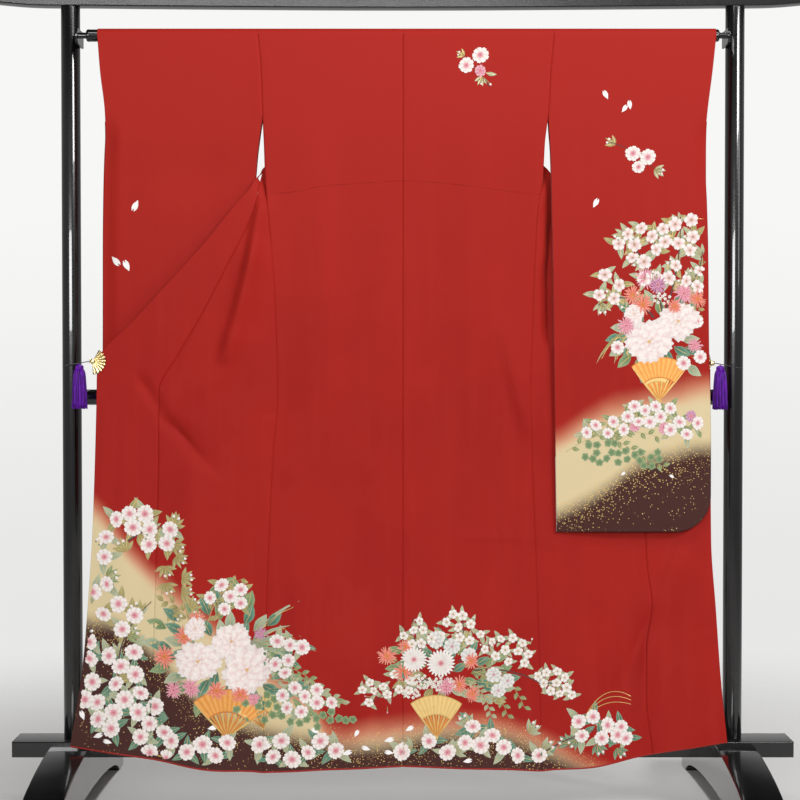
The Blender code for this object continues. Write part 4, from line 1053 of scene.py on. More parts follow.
def makeLacquer(name):
    # gloss black lacquer, brushed on and rubbed down
    paint = Paint(name, Coat_Weight=0.9, Coat_Roughness=0.03, Specular_IOR_Level=0.45)
    where = paint.place()
    cloud = paint.noise(where, 7, 3, 0.6)
    brushed = paint.noise(where, 90, 2, 0.5, (1, 1, 0.06))
    tone = paint.mix(cloud.rises(0.3, 0.7), (0.0022, 0.0022, 0.0026), (0.0045, 0.0042, 0.0046))
    rough = 0.13 + cloud * 0.10 + brushed * 0.05
    under = paint.bump(paint.noise(where, 24, 2, 0.5), 0.0006, 0.25)
    return paint.wear(Base_Color=tone, Roughness=rough, Normal=paint.bump(brushed, 0.0002, 0.12, under))


def makeGilt(name):
    paint = Paint(name, Metallic=1.0)
    where = paint.place()
    cloud = paint.noise(where, 160, 3, 0.6)
    fine = paint.noise(where, 1800, 2, 0.6)
    groove = paint.node("Attribute", {"attribute_name": "groove"}, out=2)
    tone = paint.mix(cloud.rises(0.35, 0.75), (1.0, 0.86, 0.50), (0.88, 0.66, 0.28))
    # painted shade: the gilt darkened to brown down in the fan's pleats
    tone = paint.mix(groove, tone, (0.10, 0.05, 0.012))
    return paint.wear(Base_Color=tone, Roughness=0.20 + cloud * 0.18, Normal=paint.bump(fine, 0.00015, 0.3))


def makeSilk(name):
    paint = Paint(name, Sheen_Weight=0.10, Sheen_Roughness=0.3, Sheen_Tint=(0.6, 0.3, 1.0, 1),
                  Specular_IOR_Level=0.3)
    where = paint.place()
    strand = paint.noise(where, 420, 2, 0.5, (1, 1, 0.08))
    tone = paint.mix(strand.rises(0.35, 0.65), (0.050, 0.002, 0.15), (0.17, 0.008, 0.48))
    return paint.wear(Base_Color=tone, Roughness=0.42, Normal=paint.bump(strand, 0.0004, 0.5))


def makeCordSilk(name):
    paint = Paint(name, Sheen_Weight=0.3, Sheen_Roughness=0.4)
    where = paint.place()
    twist = paint.noise(where, 1300, 2, 0.5)
    tone = paint.mix(twist.rises(0.35, 0.7), (0.020, 0.014, 0.022), (0.07, 0.045, 0.085))
    return paint.wear(Base_Color=tone, Roughness=0.55, Normal=paint.bump(twist, 0.0002, 0.5))


print("materials")
redCrepe = makeCrepe("redCrepe", None)
hemCrepe = makeCrepe("hemCrepe", "hem")
sleeveCrepe = makeCrepe("sleeveCrepe", "sleeve")
lining = makeLining("lining")
piping = makePiping("piping")
lacquer = makeLacquer("lacquer")
gilt = makeGilt("gilt")
silk = makeSilk("silk")
cordSilk = makeCordSilk("cordSilk")

print("cloth")
bodies = [makeBody(side, [hemCrepe, lining, piping]) for side in sides]
overlaps = [makeOverlap(side, [hemCrepe, lining, piping]) for side in sides]
sleeves = [makeSleeve(side, [finish, lining, piping])
           for side, finish in ((left, redCrepe), (right, sleeveCrepe))]
collars = makeCollars([redCrepe, redCrepe, redCrepe])

# The stand, lacquered wood
stand = {
    "bracketEdge": 0.0008,
    "railChamfer": 0.0015,
    "turnSteps": 72,
    "postChamfer": 0.0012,
    "edge": 0.0022,  # rounding of the boards' edges
    "barEndOut": 0.004,  # how far the bar's ends lean outwards
    "archReach": 0.375,
    "archHigh": 0.047,
    "notchDeep": 0.0003,  # air round the beam
    "footSteps": 40,
    "archSteps": 24,
    "barSteps": 56,
}
# How much the top bar, level over the posts, curves up. Columns: distance from the middle, rise
barCurve = Table([
    (0.000, 0.0000),
    (0.100, 0.0001),
    (0.220, 0.0006),
    (0.330, 0.0014),
    (0.440, 0.0022),
    (0.550, 0.0031),
    (0.630, 0.0039),
    (0.699, 0.0046),
    (0.750, 0.0046),
    (0.785, 0.0050),
    (0.815, 0.0062),
    (0.840, 0.0080),
    (0.870, 0.0108),
    (0.895, 0.0129),
    (0.920, 0.0144),
])
# Top of a foot from the beam's notch to the tip. Columns: distance from the middle, height
footTop = Table([
    (0.040, 0.1468),
    (0.105, 0.1430),
    (0.200, 0.1320),
    (0.290, 0.1165),
    (0.350, 0.1015),
    (0.395, 0.0820),
    (0.425, 0.0560),
    (0.440, 0.0300),
])


# The rod: half its length between the caps, its radius, and its stubs in the brackets
rod = {
    "half": 0.676,
    "radius": 0.0130,
    "stub": 0.0065,
    "chamfer": 0.001,
    "capRound": 0.004,
    "capLong": 0.003,
    "capLip": 0.0002,
}


def turnedPiece(name, profile, finish, replaced, centre, turn=None, steps=72, sharp=35):
    # a profile of radius and height turned about its own Z
    made = bmesh.new()
    rings = []
    for radius, height in profile:
        if radius < 1e-6:
            rings.append([made.verts.new((0, 0, height))] * steps)
            continue
        rings.append([made.verts.new((radius * math.cos(2 * math.pi * i / steps),
                                      radius * math.sin(2 * math.pi * i / steps),
                                      height)) for i in range(steps)])
    for low, high in zip(rings, rings[1:]):
        for i in range(steps):
            corners = [low[i], low[(i + 1) % steps], high[(i + 1) % steps], high[i]]
            made.faces.new(list(dict.fromkeys(corners)))
    bmesh.ops.recalc_face_normals(made, faces=made.faces)
    mesh = bpy.data.meshes.new(name)
    made.to_mesh(mesh)
    made.free()
    mesh.transform(Matrix.LocRotScale(Vector(centre), turn or Matrix.Identity(3), None))
    mesh.shade_smooth()
    mesh.set_sharp_from_angle(angle=math.radians(sharp))
    return addPiece(name, mesh, [finish], replaced)


alongX = Matrix(((0, 0, 1), (0, 1, 0), (-1, 0, 0)))  # turns +Z onto +X
towardsViewer = Matrix(((1, 0, 0), (0, 0, -1), (0, 1, 0)))  # turns +Z onto -Y
# The two directions of a flat outline: from the viewer and up, or to the right and up
acrossAxes = (0, 1, 0), (0, 0, 1)
alongAxes = (1, 0, 0), (0, 0, 1)


def board(name, outline, thick, rounding, axes, centre, replaced):
    # a flat outline with thickness and rounded edges; axes are the outline's two directions
    curve = bpy.data.curves.new(name, "CURVE")
    curve.dimensions = "2D"
    curve.fill_mode = "BOTH"
    curve.extrude = thick / 2 - rounding
    curve.bevel_depth = rounding
    curve.bevel_resolution = 3
    curve.offset = -rounding
    spline = curve.splines.new("POLY")
    spline.points.add(len(outline) - 1)
    for point, (u, v) in zip(spline.points, outline):
        point.co = (u, v, 0, 1)
    spline.use_cyclic_u = True
    holder = bpy.data.objects.new(name + "_outline", curve)
    mesh = bpy.data.meshes.new_from_object(holder)
    bpy.data.objects.remove(holder)
    first, second = (Vector(axis) for axis in axes)
    third = first.cross(second)
    mesh.transform(Matrix.Translation(centre) @ Matrix((first, second, third)).transposed().to_4x4())
    mesh.shade_smooth()
    mesh.set_sharp_from_angle(angle=math.radians(40))
    return addPiece(name, mesh, [lacquer], replaced)


def arc(centreU, centreV, radiusU, radiusV, start, end, steps):
    turns = [math.radians(start + (end - start) * i / steps) for i in range(steps + 1)]
    return [(centreU + radiusU * math.cos(turn), centreV + radiusV * math.sin(turn)) for turn in turns]


def roundEnded(radius, low, high, chamfer):
    return [(0, low), (radius - chamfer, low), (radius - chamfer * 0.3, low + chamfer * 0.3),
            (radius, low + chamfer), (radius, high - chamfer),
            (radius - chamfer * 0.3, high - chamfer * 0.3), (radius - chamfer, high), (0, high)]


def makeStand():
    footSteps, barSteps = stand["footSteps"], stand["barSteps"]
    for name in ("left", "right"):
        lo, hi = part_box(f"post_{name}")
        centre = (lo + hi) / 2
        radius, half = (hi.y - lo.y) / 2, (hi.z - lo.z) / 2
        turnedPiece(f"post_{name}_turned", roundEnded(radius, -half, half, stand["postChamfer"]), lacquer,
                    [f"post_{name}"], centre, steps=stand["turnSteps"])
        lo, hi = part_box(f"foot_{name}")
        reach = (hi.y - lo.y) / 2
        beamLow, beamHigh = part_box("base_beam")
        notch = (beamHigh.y - beamLow.y) / 2 + stand["notchDeep"]
        half = [(notch, beamLow.z - stand["notchDeep"])]
        for i in range(footSteps + 1):
            out = notch + (reach - notch) * math.sin(math.pi / 2 * i / footSteps)
            half.append((out, float(footTop(out)[0])))
        half.append((reach, 0))
        half += arc(0, 0, stand["archReach"], stand["archHigh"], 0, 90, stand["archSteps"])[:-1]
        outline = half + [(0, stand["archHigh"])] + [(-u, v) for u, v in reversed(half)]
        board(f"foot_{name}_board", outline, hi.x - lo.x, stand["edge"], acrossAxes,
              Vector(((lo.x + hi.x) / 2, (lo.y + hi.y) / 2, lo.z)), [f"foot_{name}"])
        lo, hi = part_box(f"bracket_{name}")
        centre = (lo + hi) / 2
        deep, tall = (hi.y - lo.y) / 2, (hi.z - lo.z) / 2
        outline = arc(-deep + tall, 0, tall, tall, 270, 90, 16) + [(deep, tall), (deep, -tall)]
        board(f"bracket_{name}_arm", outline, hi.x - lo.x, stand["bracketEdge"], acrossAxes, centre,
              [f"bracket_{name}"])
    lo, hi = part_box("mid_rail")
    half = (hi.x - lo.x) / 2
    turnedPiece("mid_rail_turned", roundEnded((hi.y - lo.y) / 2, -half, half, stand["railChamfer"]),
                lacquer, ["mid_rail"], (lo + hi) / 2, alongX, stand["turnSteps"])
    lo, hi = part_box("base_beam")
    half, tall = (hi.x - lo.x) / 2, (hi.z - lo.z) / 2
    board("base_beam_board", [(-half, -tall), (half, -tall), (half, tall), (-half, tall)], hi.y - lo.y,
          stand["edge"], alongAxes, (lo + hi) / 2, ["base_beam"])
    lo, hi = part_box("top_bar")
    half = (hi.x - lo.x) / 2 - stand["barEndOut"]
    tall = hi.z - lo.z - float(barCurve(half)[0])
    lower, upper = [], []
    for i in range(1, barSteps + 1):
        x = half * i / barSteps
        up = float(barCurve(x)[0])
        lower.append((x, up))
        upper.append((x + (stand["barEndOut"] if i == barSteps else 0), tall + up))
    outline = lower + upper[::-1]
    outline += [(-x, z) for x, z in reversed(outline)]
    board("top_bar_board", outline, hi.y - lo.y, stand["edge"], alongAxes,
          Vector(((lo.x + hi.x) / 2, (lo.y + hi.y) / 2, lo.z)), ["top_bar"])
    half, radius, stub = rod["half"], rod["radius"], rod["stub"]
    bend, lip, chamfer = rod["capRound"], rod["capLip"], rod["chamfer"]
    end = rodBox[1].x
    profile = [(0, end), (stub - chamfer, end), (stub, end - chamfer), (stub, half + bend)]
    profile += [(radius + lip - bend + bend * math.cos(math.radians(a)),
                 half + bend * math.sin(math.radians(a))) for a in (90, 70, 50, 30, 15, 0)]
    profile += [(radius + lip, half - rod["capLong"]), (radius, half - rod["capLong"] - 2 * lip)]
    profile += [(r, -z) for r, z in reversed(profile)]
    turnedPiece("rod_turned", profile, lacquer, ["rod"], (0, rodY, rodZ), alongX)


print("stand")
makeStand()

# Clips: gilt fans on the cloth's edges, and the straps that grip it
clip = {
    "ribs": 9,
    "radius": 0.029,
    "root": 0.0045,
    "spread": 75,  # degrees to either side
    "tilt": {"left": -14, "right": 0},
    "pleat": 0.0012,
    "rootPleat": 0.25,  # share of it at the root
    "ribSteps": 8,
    "rings": 10,
    "thick": 0.0006,
    "scallop": 0.0018,
    "boss": 0.0056,
    "bossSteps": 24,
}
# The boss on each clip. Columns: share of its radius, height
bossProfile = [(0, 0.0024), (0.35, 0.0022), (0.65, 0.0016), (0.88, 0.0008), (1, -0.0002), (1, -0.0006),
               (0, -0.0006)]


def makeFan(side):
    name = f"clip_fan_{side.name}"
    lo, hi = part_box(name)
    edge = hi.x if side.sign < 0 else lo.x
    tilt, spread = clip["tilt"][side.name], clip["spread"]
    pivot = Vector((edge + side.sign * clip["radius"], (lo.y + hi.y) / 2,
                    hi.z - clip["radius"] * math.sin(math.radians(spread + tilt))))
    steps, rings = clip["ribs"] * clip["ribSteps"], clip["rings"]
    flat = clip["rootPleat"]
    rows = []
    for i in range(steps + 1):
        share = i / steps
        angle = math.radians(tilt + spread * (2 * share - 1))
        wave = math.cos(2 * math.pi * clip["ribs"] * share)
        row = []
        for j in range(rings + 1):
            out = j / rings
            bulge = clip["scallop"] * (1 - wave) / 2 * out ** 6
            r = clip["root"] + (clip["radius"] - clip["scallop"] - clip["root"]) * out + bulge
            lift = clip["pleat"] * wave * (flat + (1 - flat) * out)
            row.append(pivot + Vector((-side.sign * r * math.cos(angle), lift, r * math.sin(angle))))
        rows.append(row)
    mesh = bpy.data.meshes.new(name)
    mesh.from_pydata([tuple(p) for row in rows for p in row], [], gridFaces(steps + 1, rings + 1))
    # painted shade: 1 where the pleats lie deepest, where the gilt is darkened to brown
    groove = mesh.attributes.new("groove", "FLOAT", "POINT")  # 1 where the pleats lie deepest
    for i in range(steps + 1):
        for j in range(rings + 1):
            wave = math.cos(2 * math.pi * clip["ribs"] * i / steps)
            groove.data[i * (rings + 1) + j].value = max(0.0, wave) ** 0.7 * min(1.0, j / 3)
    mesh.shade_smooth()
    fan = addPiece(f"{name}_gilt", mesh, [gilt], [name])
    thick = fan.modifiers.new("thickness", "SOLIDIFY")
    thick.thickness = clip["thick"]
    thick.offset = 0
    return pivot


def makeClips():
    for side in sides:
        pivot = makeFan(side)
        # the jaw keeps its solid's shape
        jaw = nodes[f"clip_jaw_{side.name}"]
        jaw.data.materials.clear()
        jaw.data.materials.append(gilt)
        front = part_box(f"clip_jaw_{side.name}")[0].y
        boss = [(clip["boss"] * share, height) for share, height in bossProfile]
        turnedPiece(f"clip_boss_{side.name}", boss, gilt, [], pivot + Vector((0, front - pivot.y, 0)),
                    towardsViewer, clip["bossSteps"])


print("clips")
makeClips()

# Strings and tassels
tassel = {
    "stringRadius": 0.0011,
    "postGap": 0.0003,
    "drop": 0.0100,
    "pitch": 0.0040,
    "turn": 255,  # degrees round the post
    "turnSteps": 96,
    "straightSteps": 24,
    "stringSides": 12,
    "twist": 900,  # radians for each metre
    "plies": 3,
    "strands": 170,
    "strandRadius": 0.00085,
    "strandSides": 5,
    "strandSteps": 11,
    "sway": 0.10,
    "uneven": 0.006,  # in length
    "root": 0.0092,
    "tip": 0.0166,
    "swell": 0.40,  # lower is fuller near the head
    "neck": 0.012,  # from the top down to where the strands begin
    "length": 0.098,
}
# The tassel's bound head. Columns: radius, height
tasselHead = [(0.0, 0.0), (0.0013, -0.0002), (0.0016, -0.0014), (0.0048, -0.0020), (0.0074, -0.0036),
              (0.0088, -0.0060), (0.0092, -0.0080), (0.0087, -0.0094), (0.0084, -0.0099), (0.0090, -0.0106),
              (0.0090, -0.0116), (0.0085, -0.0122), (0.0100, -0.0150), (0.0050, -0.0170), (0.0, -0.0170)]
goldenTurn = 2.399963  # radians from one strand to the next, which spreads them evenly
postX, postR = 0.7245, 0.0187


def tube(made, route, radius, sides, twist=0.0, lobes=0):
    # a tube along a route of points; lobes twist round it like laid strands
    rings = []
    length = 0.0
    for i, point in enumerate(route):
        before, after = route[max(i - 1, 0)], route[min(i + 1, len(route) - 1)]
        along = (after - before).normalized()
        first = along.orthogonal().normalized() if i == 0 else (first - along * first.dot(along)).normalized()
        second = along.cross(first)
        length += (point - before).length
        ring = []
        for k in range(sides):
            turn = 2 * math.pi * k / sides
            r = radius * (0.84 + 0.16 * math.cos(lobes * (turn - twist * length))) if lobes else radius
            ring.append(made.verts.new(point + (first * math.cos(turn) + second * math.sin(turn)) * r))
        rings.append(ring)
    for a, b in zip(rings, rings[1:]):
        for k in range(sides):
            made.faces.new((a[k], a[(k + 1) % sides], b[(k + 1) % sides], b[k]))
    made.faces.new(rings[0][::-1])
    made.faces.new(rings[-1])


def makeString(side):
    # from the clip's strap across the near side of the post and round it
    jawLow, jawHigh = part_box(f"clip_jaw_{side.name}")
    radius, gap = tassel["stringRadius"], tassel["postGap"]
    outer = jawLow.x if side.sign < 0 else jawHigh.x
    begin = Vector((outer + side.sign * (radius + gap), jawLow.y + 0.0030, (jawLow.z + jawHigh.z) / 2))
    ring = postR + radius + gap
    reach = Vector((side.sign * (side.sign * postX - begin.x), begin.y))
    first = math.atan2(reach.y, reach.x) - math.acos(ring / reach.length)
    bends = []
    for i in range(tassel["turnSteps"] + 1):
        share = i / tassel["turnSteps"]
        angle = first - math.radians(tassel["turn"]) * share
        bends.append(Vector((side.sign * postX - side.sign * ring * math.cos(angle), ring * math.sin(angle),
                             begin.z - tassel["drop"] - tassel["pitch"] * share)))
    straight = [begin.lerp(bends[0], i / tassel["straightSteps"]) for i in range(tassel["straightSteps"])]
    made = bmesh.new()
    tube(made, straight + bends, radius, tassel["stringSides"], tassel["twist"], tassel["plies"])
    name = f"string_{side.name}"
    mesh = bpy.data.meshes.new(name)
    made.to_mesh(mesh)
    made.free()
    mesh.shade_smooth()
    addPiece(f"{name}_braid", mesh, [cordSilk], [name])


def makeTassel(side):
    name = f"tassel_{side.name}"
    lo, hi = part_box(name)
    top = Vector(((lo.x + hi.x) / 2, (lo.y + hi.y) / 2, hi.z))
    draw = random.Random(11 if side.sign < 0 else 12)
    turnedPiece(f"{name}_head", tasselHead, silk, [], top, steps=36, sharp=60)
    made = bmesh.new()
    count, steps, neck = tassel["strands"], tassel["strandSteps"], tassel["neck"]
    for i in range(count):
        ring = math.sqrt((i + 0.5) / count)
        turn = i * goldenTurn
        sway = draw.uniform(-tassel["sway"], tassel["sway"])
        length = tassel["length"] - draw.uniform(0.0, tassel["uneven"])
        route = []
        for k in range(steps + 1):
            share = k / steps
            spread = ring * (tassel["root"] + (tassel["tip"] - tassel["root"]) * share ** tassel["swell"])
            angle = turn + sway * share
            route.append(top + Vector((spread * math.cos(angle), spread * math.sin(angle),
                                       -neck - (length - neck) * share)))
        tube(made, route, tassel["strandRadius"], tassel["strandSides"])
    mesh = bpy.data.meshes.new(name)
    made.to_mesh(mesh)
    made.free()
    mesh.shade_smooth()
    addPiece(f"{name}_strands", mesh, [silk], [name])


print("strings and tassels")
for side in sides:
    makeString(side)
    makeTassel(side)

# Dyed flowers: thin painted shapes that follow the cloth's face, in a layout of its own
flower = {
    "lift": 0.00030,  # above the cloth
    "layer": 0.000006,  # between one petal and the next
    "lowest": 0.00008,  # one flower's own level over the rest
    "between": 0.00005,  # from level to level
    "levels": 9,
    "stalk": 0.00002,  # level of stems
    "edgeFree": 0.003,  # bare cloth along the edges
    "hemFree": 0.002,
    "rightmost": 0.69,
    "leaves": 3,  # round each blossom
}
# Colours of a petal or leaf: at its root, middle, tip and along its edges
tints = {
    "white": ((0.74, 0.36, 0.36), (0.83, 0.75, 0.71), (0.87, 0.83, 0.79), (0.62, 0.47, 0.45)),
    "bright": ((0.88, 0.84, 0.82), (0.92, 0.90, 0.88), (0.92, 0.91, 0.90), (0.84, 0.76, 0.74)),
    "snow": ((0.70, 0.62, 0.48), (0.84, 0.79, 0.74), (0.87, 0.84, 0.80), (0.60, 0.52, 0.46)),
    "heart": ((0.45, 0.03, 0.07), (0.74, 0.34, 0.37), (0.84, 0.70, 0.68), (0.66, 0.36, 0.36)),
    "grey": ((0.50, 0.40, 0.36), (0.66, 0.64, 0.60), (0.80, 0.79, 0.75), (0.44, 0.40, 0.38)),
    "rose": ((0.52, 0.08, 0.15), (0.68, 0.26, 0.33), (0.80, 0.48, 0.52), (0.46, 0.12, 0.18)),
    "coral": ((0.50, 0.06, 0.04), (0.72, 0.20, 0.15), (0.84, 0.38, 0.28), (0.48, 0.10, 0.07)),
    "mauve": ((0.26, 0.06, 0.18), (0.50, 0.20, 0.34), (0.68, 0.42, 0.52), (0.30, 0.10, 0.20)),
    "peony": ((0.72, 0.36, 0.38), (0.84, 0.72, 0.68), (0.88, 0.82, 0.78), (0.72, 0.46, 0.46)),
    "teal": ((0.030, 0.110, 0.085), (0.070, 0.210, 0.150), (0.150, 0.300, 0.220), (0.300, 0.360, 0.220)),
    "green": ((0.090, 0.170, 0.070), (0.160, 0.270, 0.130), (0.260, 0.360, 0.190), (0.400, 0.400, 0.220)),
    "olive": ((0.200, 0.180, 0.070), (0.300, 0.290, 0.120), (0.440, 0.380, 0.180), (0.500, 0.420, 0.220)),
    "sage": ((0.200, 0.260, 0.170), (0.310, 0.380, 0.260), (0.440, 0.490, 0.350), (0.520, 0.500, 0.320)),
    "bark": ((0.070, 0.028, 0.032), (0.110, 0.050, 0.052), (0.160, 0.080, 0.080), (0.050, 0.020, 0.022)),
    "gold": ((0.62, 0.40, 0.12), (0.74, 0.50, 0.18), (0.80, 0.58, 0.24), (0.50, 0.26, 0.07)),
    "orange": ((0.62, 0.20, 0.04), (0.76, 0.30, 0.07), (0.82, 0.42, 0.12), (0.52, 0.13, 0.03)),
}
# Shapes: half width from root to tip in six steps, and how far each of five columns reaches
shapes = {
    "notched": ([0.10, 0.55, 0.88, 1.00, 0.95, 0.60], [0.88, 1.00, 0.84, 1.00, 0.88]),
    "round": ([0.16, 0.62, 0.92, 1.00, 0.92, 0.56], [0.90, 0.98, 1.00, 0.98, 0.90]),
    "frilled": ([0.20, 0.60, 0.86, 1.00, 1.00, 0.72], [0.86, 1.00, 0.92, 1.00, 0.88]),
    "leaf": ([0.06, 0.66, 1.00, 0.90, 0.54, 0.02], [1, 1, 1, 1, 1]),
    "thin": ([0.45, 0.75, 1.00, 1.00, 0.85, 0.40], [0.96, 1.00, 1.00, 1.00, 0.96]),
    "drop": ([0.04, 0.46, 0.86, 1.00, 0.88, 0.52], [0.94, 1.00, 0.72, 1.00, 0.94]),
}
acrossShape = np.array([-1, -0.55, 0, 0.55, 1])
alongShape = np.linspace(0, 1, 6)


class Brush:  # paints on one face of the cloth; depth and covers are functions of x and z
    def __init__(self, depth, covers):
        self.depth, self.covers = depth, covers
        self.places, self.lifts, self.tones, self.gilts, self.faces = [], [], [], [], []
        self.count, self.items, self.step = 0, 0, 0
        self.at(0, 0)

    def at(self, x, z, turn=0.0, squash=1.0, level=None):
        # what is drawn next lies round this point, turned, and seen at a slant if squashed
        self.centre = x, z
        c, s = math.cos(turn), math.sin(turn)
        self.frame = np.array([[c, -s * squash], [s, c * squash]])
        self.items += 1
        if level is None:
            level = flower["lowest"] + flower["between"] * (self.items % flower["levels"])
        self.base = flower["lift"] + level
        self.step = 0

    def ladder(self, x, z, tone, gilt=0.0):
        seen = self.frame @ np.stack([np.ravel(x), np.ravel(z)])
        placeX, placeZ = seen[0] + self.centre[0], seen[1] + self.centre[1]
        if not self.covers(placeX, placeZ).all():
            return
        self.faces += gridFaces(*x.shape, self.count)
        self.places.append(np.stack([placeX, placeZ]))
        self.lifts.append(np.full(x.size, self.base + self.step * flower["layer"]))
        self.tones.append(np.broadcast_to(tone, x.shape + (3,)).reshape(-1, 3))
        self.gilts.append(np.full(x.size, gilt))
        self.count += x.size
        self.step += 1

    def blade(self, angle, length, width, shape, tint, start=0.0, bend=0.0, root=(0, 0), gilt=0.0, shade=1.0):
        # one petal, leaf, rib or stalk
        widths, reach = shapes[shape]
        u, v = alongShape[:, None], acrossShape[None, :]
        along = start + (length - start) * u * (1 - (1 - np.array(reach)[None, :]) * u ** 3)
        side = width / 2 * np.array(widths)[:, None] * v
        heading = angle + bend * u
        x = root[0] + along * np.cos(angle + bend * u / 2) - side * np.sin(heading)
        z = root[1] + along * np.sin(angle + bend * u / 2) + side * np.cos(heading)
        low, middle, tip, edge = (np.array(part) for part in tints[tint])
        u, edged = u[:, :, None], 0.62 * np.abs(v)[:, :, None] ** 3
        tone = np.where(u < 0.5, low + (middle - low) * u / 0.5, middle + (tip - middle) * (u - 0.5) / 0.5)
        self.ladder(x, z, (tone + (edge - tone) * edged) * shade, gilt)

    def stem(self, points, width, tint="bark", gilt=0.0):
        # a tapering curve through three points, drawn where it is told
        self.at(0, 0, level=flower["stalk"])
        (ax, az), (bx, bz), (cx, cz) = points
        t = np.linspace(0, 1, 15)
        x = (1 - t) ** 2 * ax + 2 * t * (1 - t) * bx + t ** 2 * cx
        z = (1 - t) ** 2 * az + 2 * t * (1 - t) * bz + t ** 2 * cz
        turn = np.arctan2(np.gradient(z), np.gradient(x))
        half = width / 2 * (1 - 0.6 * t)
        side = np.array([-1, 0, 1])
        low, middle, tip, edge = (np.array(part) for part in tints[tint])
        tone = np.where(np.abs(side)[None, :, None] > 0, edge, tip)
        self.ladder(x[:, None] - half[:, None] * side * np.sin(turn)[:, None],
                    z[:, None] + half[:, None] * side * np.cos(turn)[:, None], tone, gilt)
        return list(zip(x, z, turn))

    def ring(self, count, radius, width, shape, tint, turn=0.0, start=0.06, wobble=0.0, draw=None, shade=1.0):
        for k in range(count):
            far = radius * (1 + (draw.uniform(-wobble, wobble) if draw else 0))
            spin = turn + 2 * math.pi * k / count + (draw.uniform(-wobble, wobble) if draw else 0)
            self.blade(spin, far, width * radius, shape, tint, start * radius, shade=shade)

    def piece(self, name):
        places = np.concatenate(self.places, axis=1)
        lifts = np.concatenate(self.lifts)
        points = stacked(places[0], self.depth(*places, lifts) + rodY, places[1])
        mesh = bpy.data.meshes.new(name)
        mesh.from_pydata(points.tolist(), [], self.faces)
        paint = mesh.attributes.new("paint", "FLOAT_COLOR", "POINT")
        tones = np.concatenate(self.tones)
        paint.data.foreach_set("color", np.hstack([tones, np.ones((len(tones), 1))]).ravel())
        gilts = mesh.attributes.new("gilding", "FLOAT", "POINT")
        gilts.data.foreach_set("value", np.concatenate(self.gilts))
        mesh.shade_smooth()
        return addPiece(name, mesh, [dyedPaint])


def cherry(brush, x, z, radius, turn=0.0, squash=1.0, tint="white"):
    # five notched petals with crimson stamens
    brush.at(x, z, turn, squash)
    brush.ring(5, radius, 0.86, "notched", tint)
    brush.ring(9, radius * 0.42, 0.10, "thin", "heart", 0.2, 0.02)
    brush.ring(6, radius * 0.16, 0.9, "round", "olive", 0.1, 0.0)


def doubleBlossom(brush, x, z, radius, turn=0.0, squash=1.0, tint="white", heart="heart"):
    brush.at(x, z, turn, squash)
    draw = random.Random(round(x * 7919 + z * 104729))
    brush.ring(9, radius, 0.66, "frilled", tint, 0.0, 0.1, 0.05, draw)
    brush.ring(7, radius * 0.76, 0.70, "frilled", tint, 0.3, 0.06, 0.06, draw, 0.98)
    brush.ring(5, radius * 0.48, 0.80, "round", heart, 0.1, 0.0, 0.06, draw)
    brush.ring(7, radius * 0.20, 0.30, "thin", "rose", 0.5, 0.0)


def chrysanthemum(brush, x, z, radius, turn=0.0, squash=0.9, tint="snow", heart="heart"):
    brush.at(x, z, turn, squash)
    brush.ring(23, radius, 0.22, "thin", tint, 0.0, 0.2)
    brush.ring(19, radius * 0.82, 0.24, "thin", tint, 0.1, 0.1, shade=0.97)
    brush.ring(13, radius * 0.58, 0.26, "thin", tint, 0.3, 0.05, shade=0.95)
    brush.ring(9, radius * 0.30, 0.34, "thin", heart, 0.0, 0.0)


def peony(brush, x, z, radius, turn=0.0, squash=0.86, tint="peony"):
    brush.at(x, z, turn, squash)
    draw = random.Random(round(x * 5003 + z * 9007))
    for count, share, wide, shade in ((11, 1.0, 0.60, 0.90), (10, 0.86, 0.60, 0.97), (9, 0.72, 0.62, 1.0),
                                      (8, 0.57, 0.64, 0.96), (7, 0.43, 0.70, 1.0), (5, 0.29, 0.80, 0.94),
                                      (3, 0.16, 1.10, 0.98)):
        brush.ring(count, radius * share, wide, "frilled", tint, draw.uniform(0, 2), 0.04, 0.09, draw, shade)
    brush.ring(7, radius * 0.10, 0.3, "thin", "gold", 0.0, 0.0)


def pompom(brush, x, z, radius, tint="rose", turn=0.0):
    brush.at(x, z, turn, 0.88)
    draw = random.Random(round(x * 3001 + z * 6007))
    brush.ring(22, radius, 0.16, "thin", tint, 0.0, 0.1, 0.14, draw)
    brush.ring(16, radius * 0.68, 0.18, "thin", tint, 0.2, 0.0, 0.14, draw, 1.12)
    brush.ring(7, radius * 0.30, 0.30, "round", "heart" if tint != "coral" else "orange")


def starlets(brush, x, z, wide, tall, count, radius=0.0036, tint="snow"):
    # a head of many tiny flowers
    for px, pz in scatter([(x, z, wide, tall)], count, radius * 1.5, 5):
        brush.at(px, pz, px * 90, 1.0)
        brush.ring(5, radius, 0.9, "round", tint, 0, 0)
        brush.ring(3, radius * 0.3, 1.0, "round", "olive", 0, 0)


def leaf(brush, x, z, length, width, angle, tint="teal", bend=0.3, level=0.0):
    brush.at(x, z, 0, 1, level)
    brush.blade(angle, length, width, "leaf", tint, bend=bend)
    brush.blade(angle, length * 0.88, 0.0011, "thin", "gold", bend=bend, gilt=0.7)


def bud(brush, x, z, length, angle, tint="white"):
    # on a short stalk, in a green cup
    brush.at(x, z)
    brush.blade(angle, length * 1.9, 0.0013, "thin", "olive", bend=0.2)
    root = (1.7 * length * math.cos(angle + 0.08), 1.7 * length * math.sin(angle + 0.08))
    brush.blade(angle + 0.1, length, length * 0.62, "round", tint, root=root)
    brush.blade(angle + 0.1, length * 0.40, length * 0.46, "round", "green", root=root)


def leafSpray(brush, x, z, length, angle, tint="olive", count=5, spread=1.9, buds=2):
    for k in range(count):
        turn = angle + spread * (k / (count - 1) - 0.5)
        leaf(brush, x, z, length * (1 - 0.25 * abs(k / (count - 1) - 0.5)), length * 0.30, turn, tint, 0.25)
    for k in range(buds):
        bud(brush, x, z, length * 0.30, angle + 0.5 * (k - (buds - 1) / 2) + 0.12)


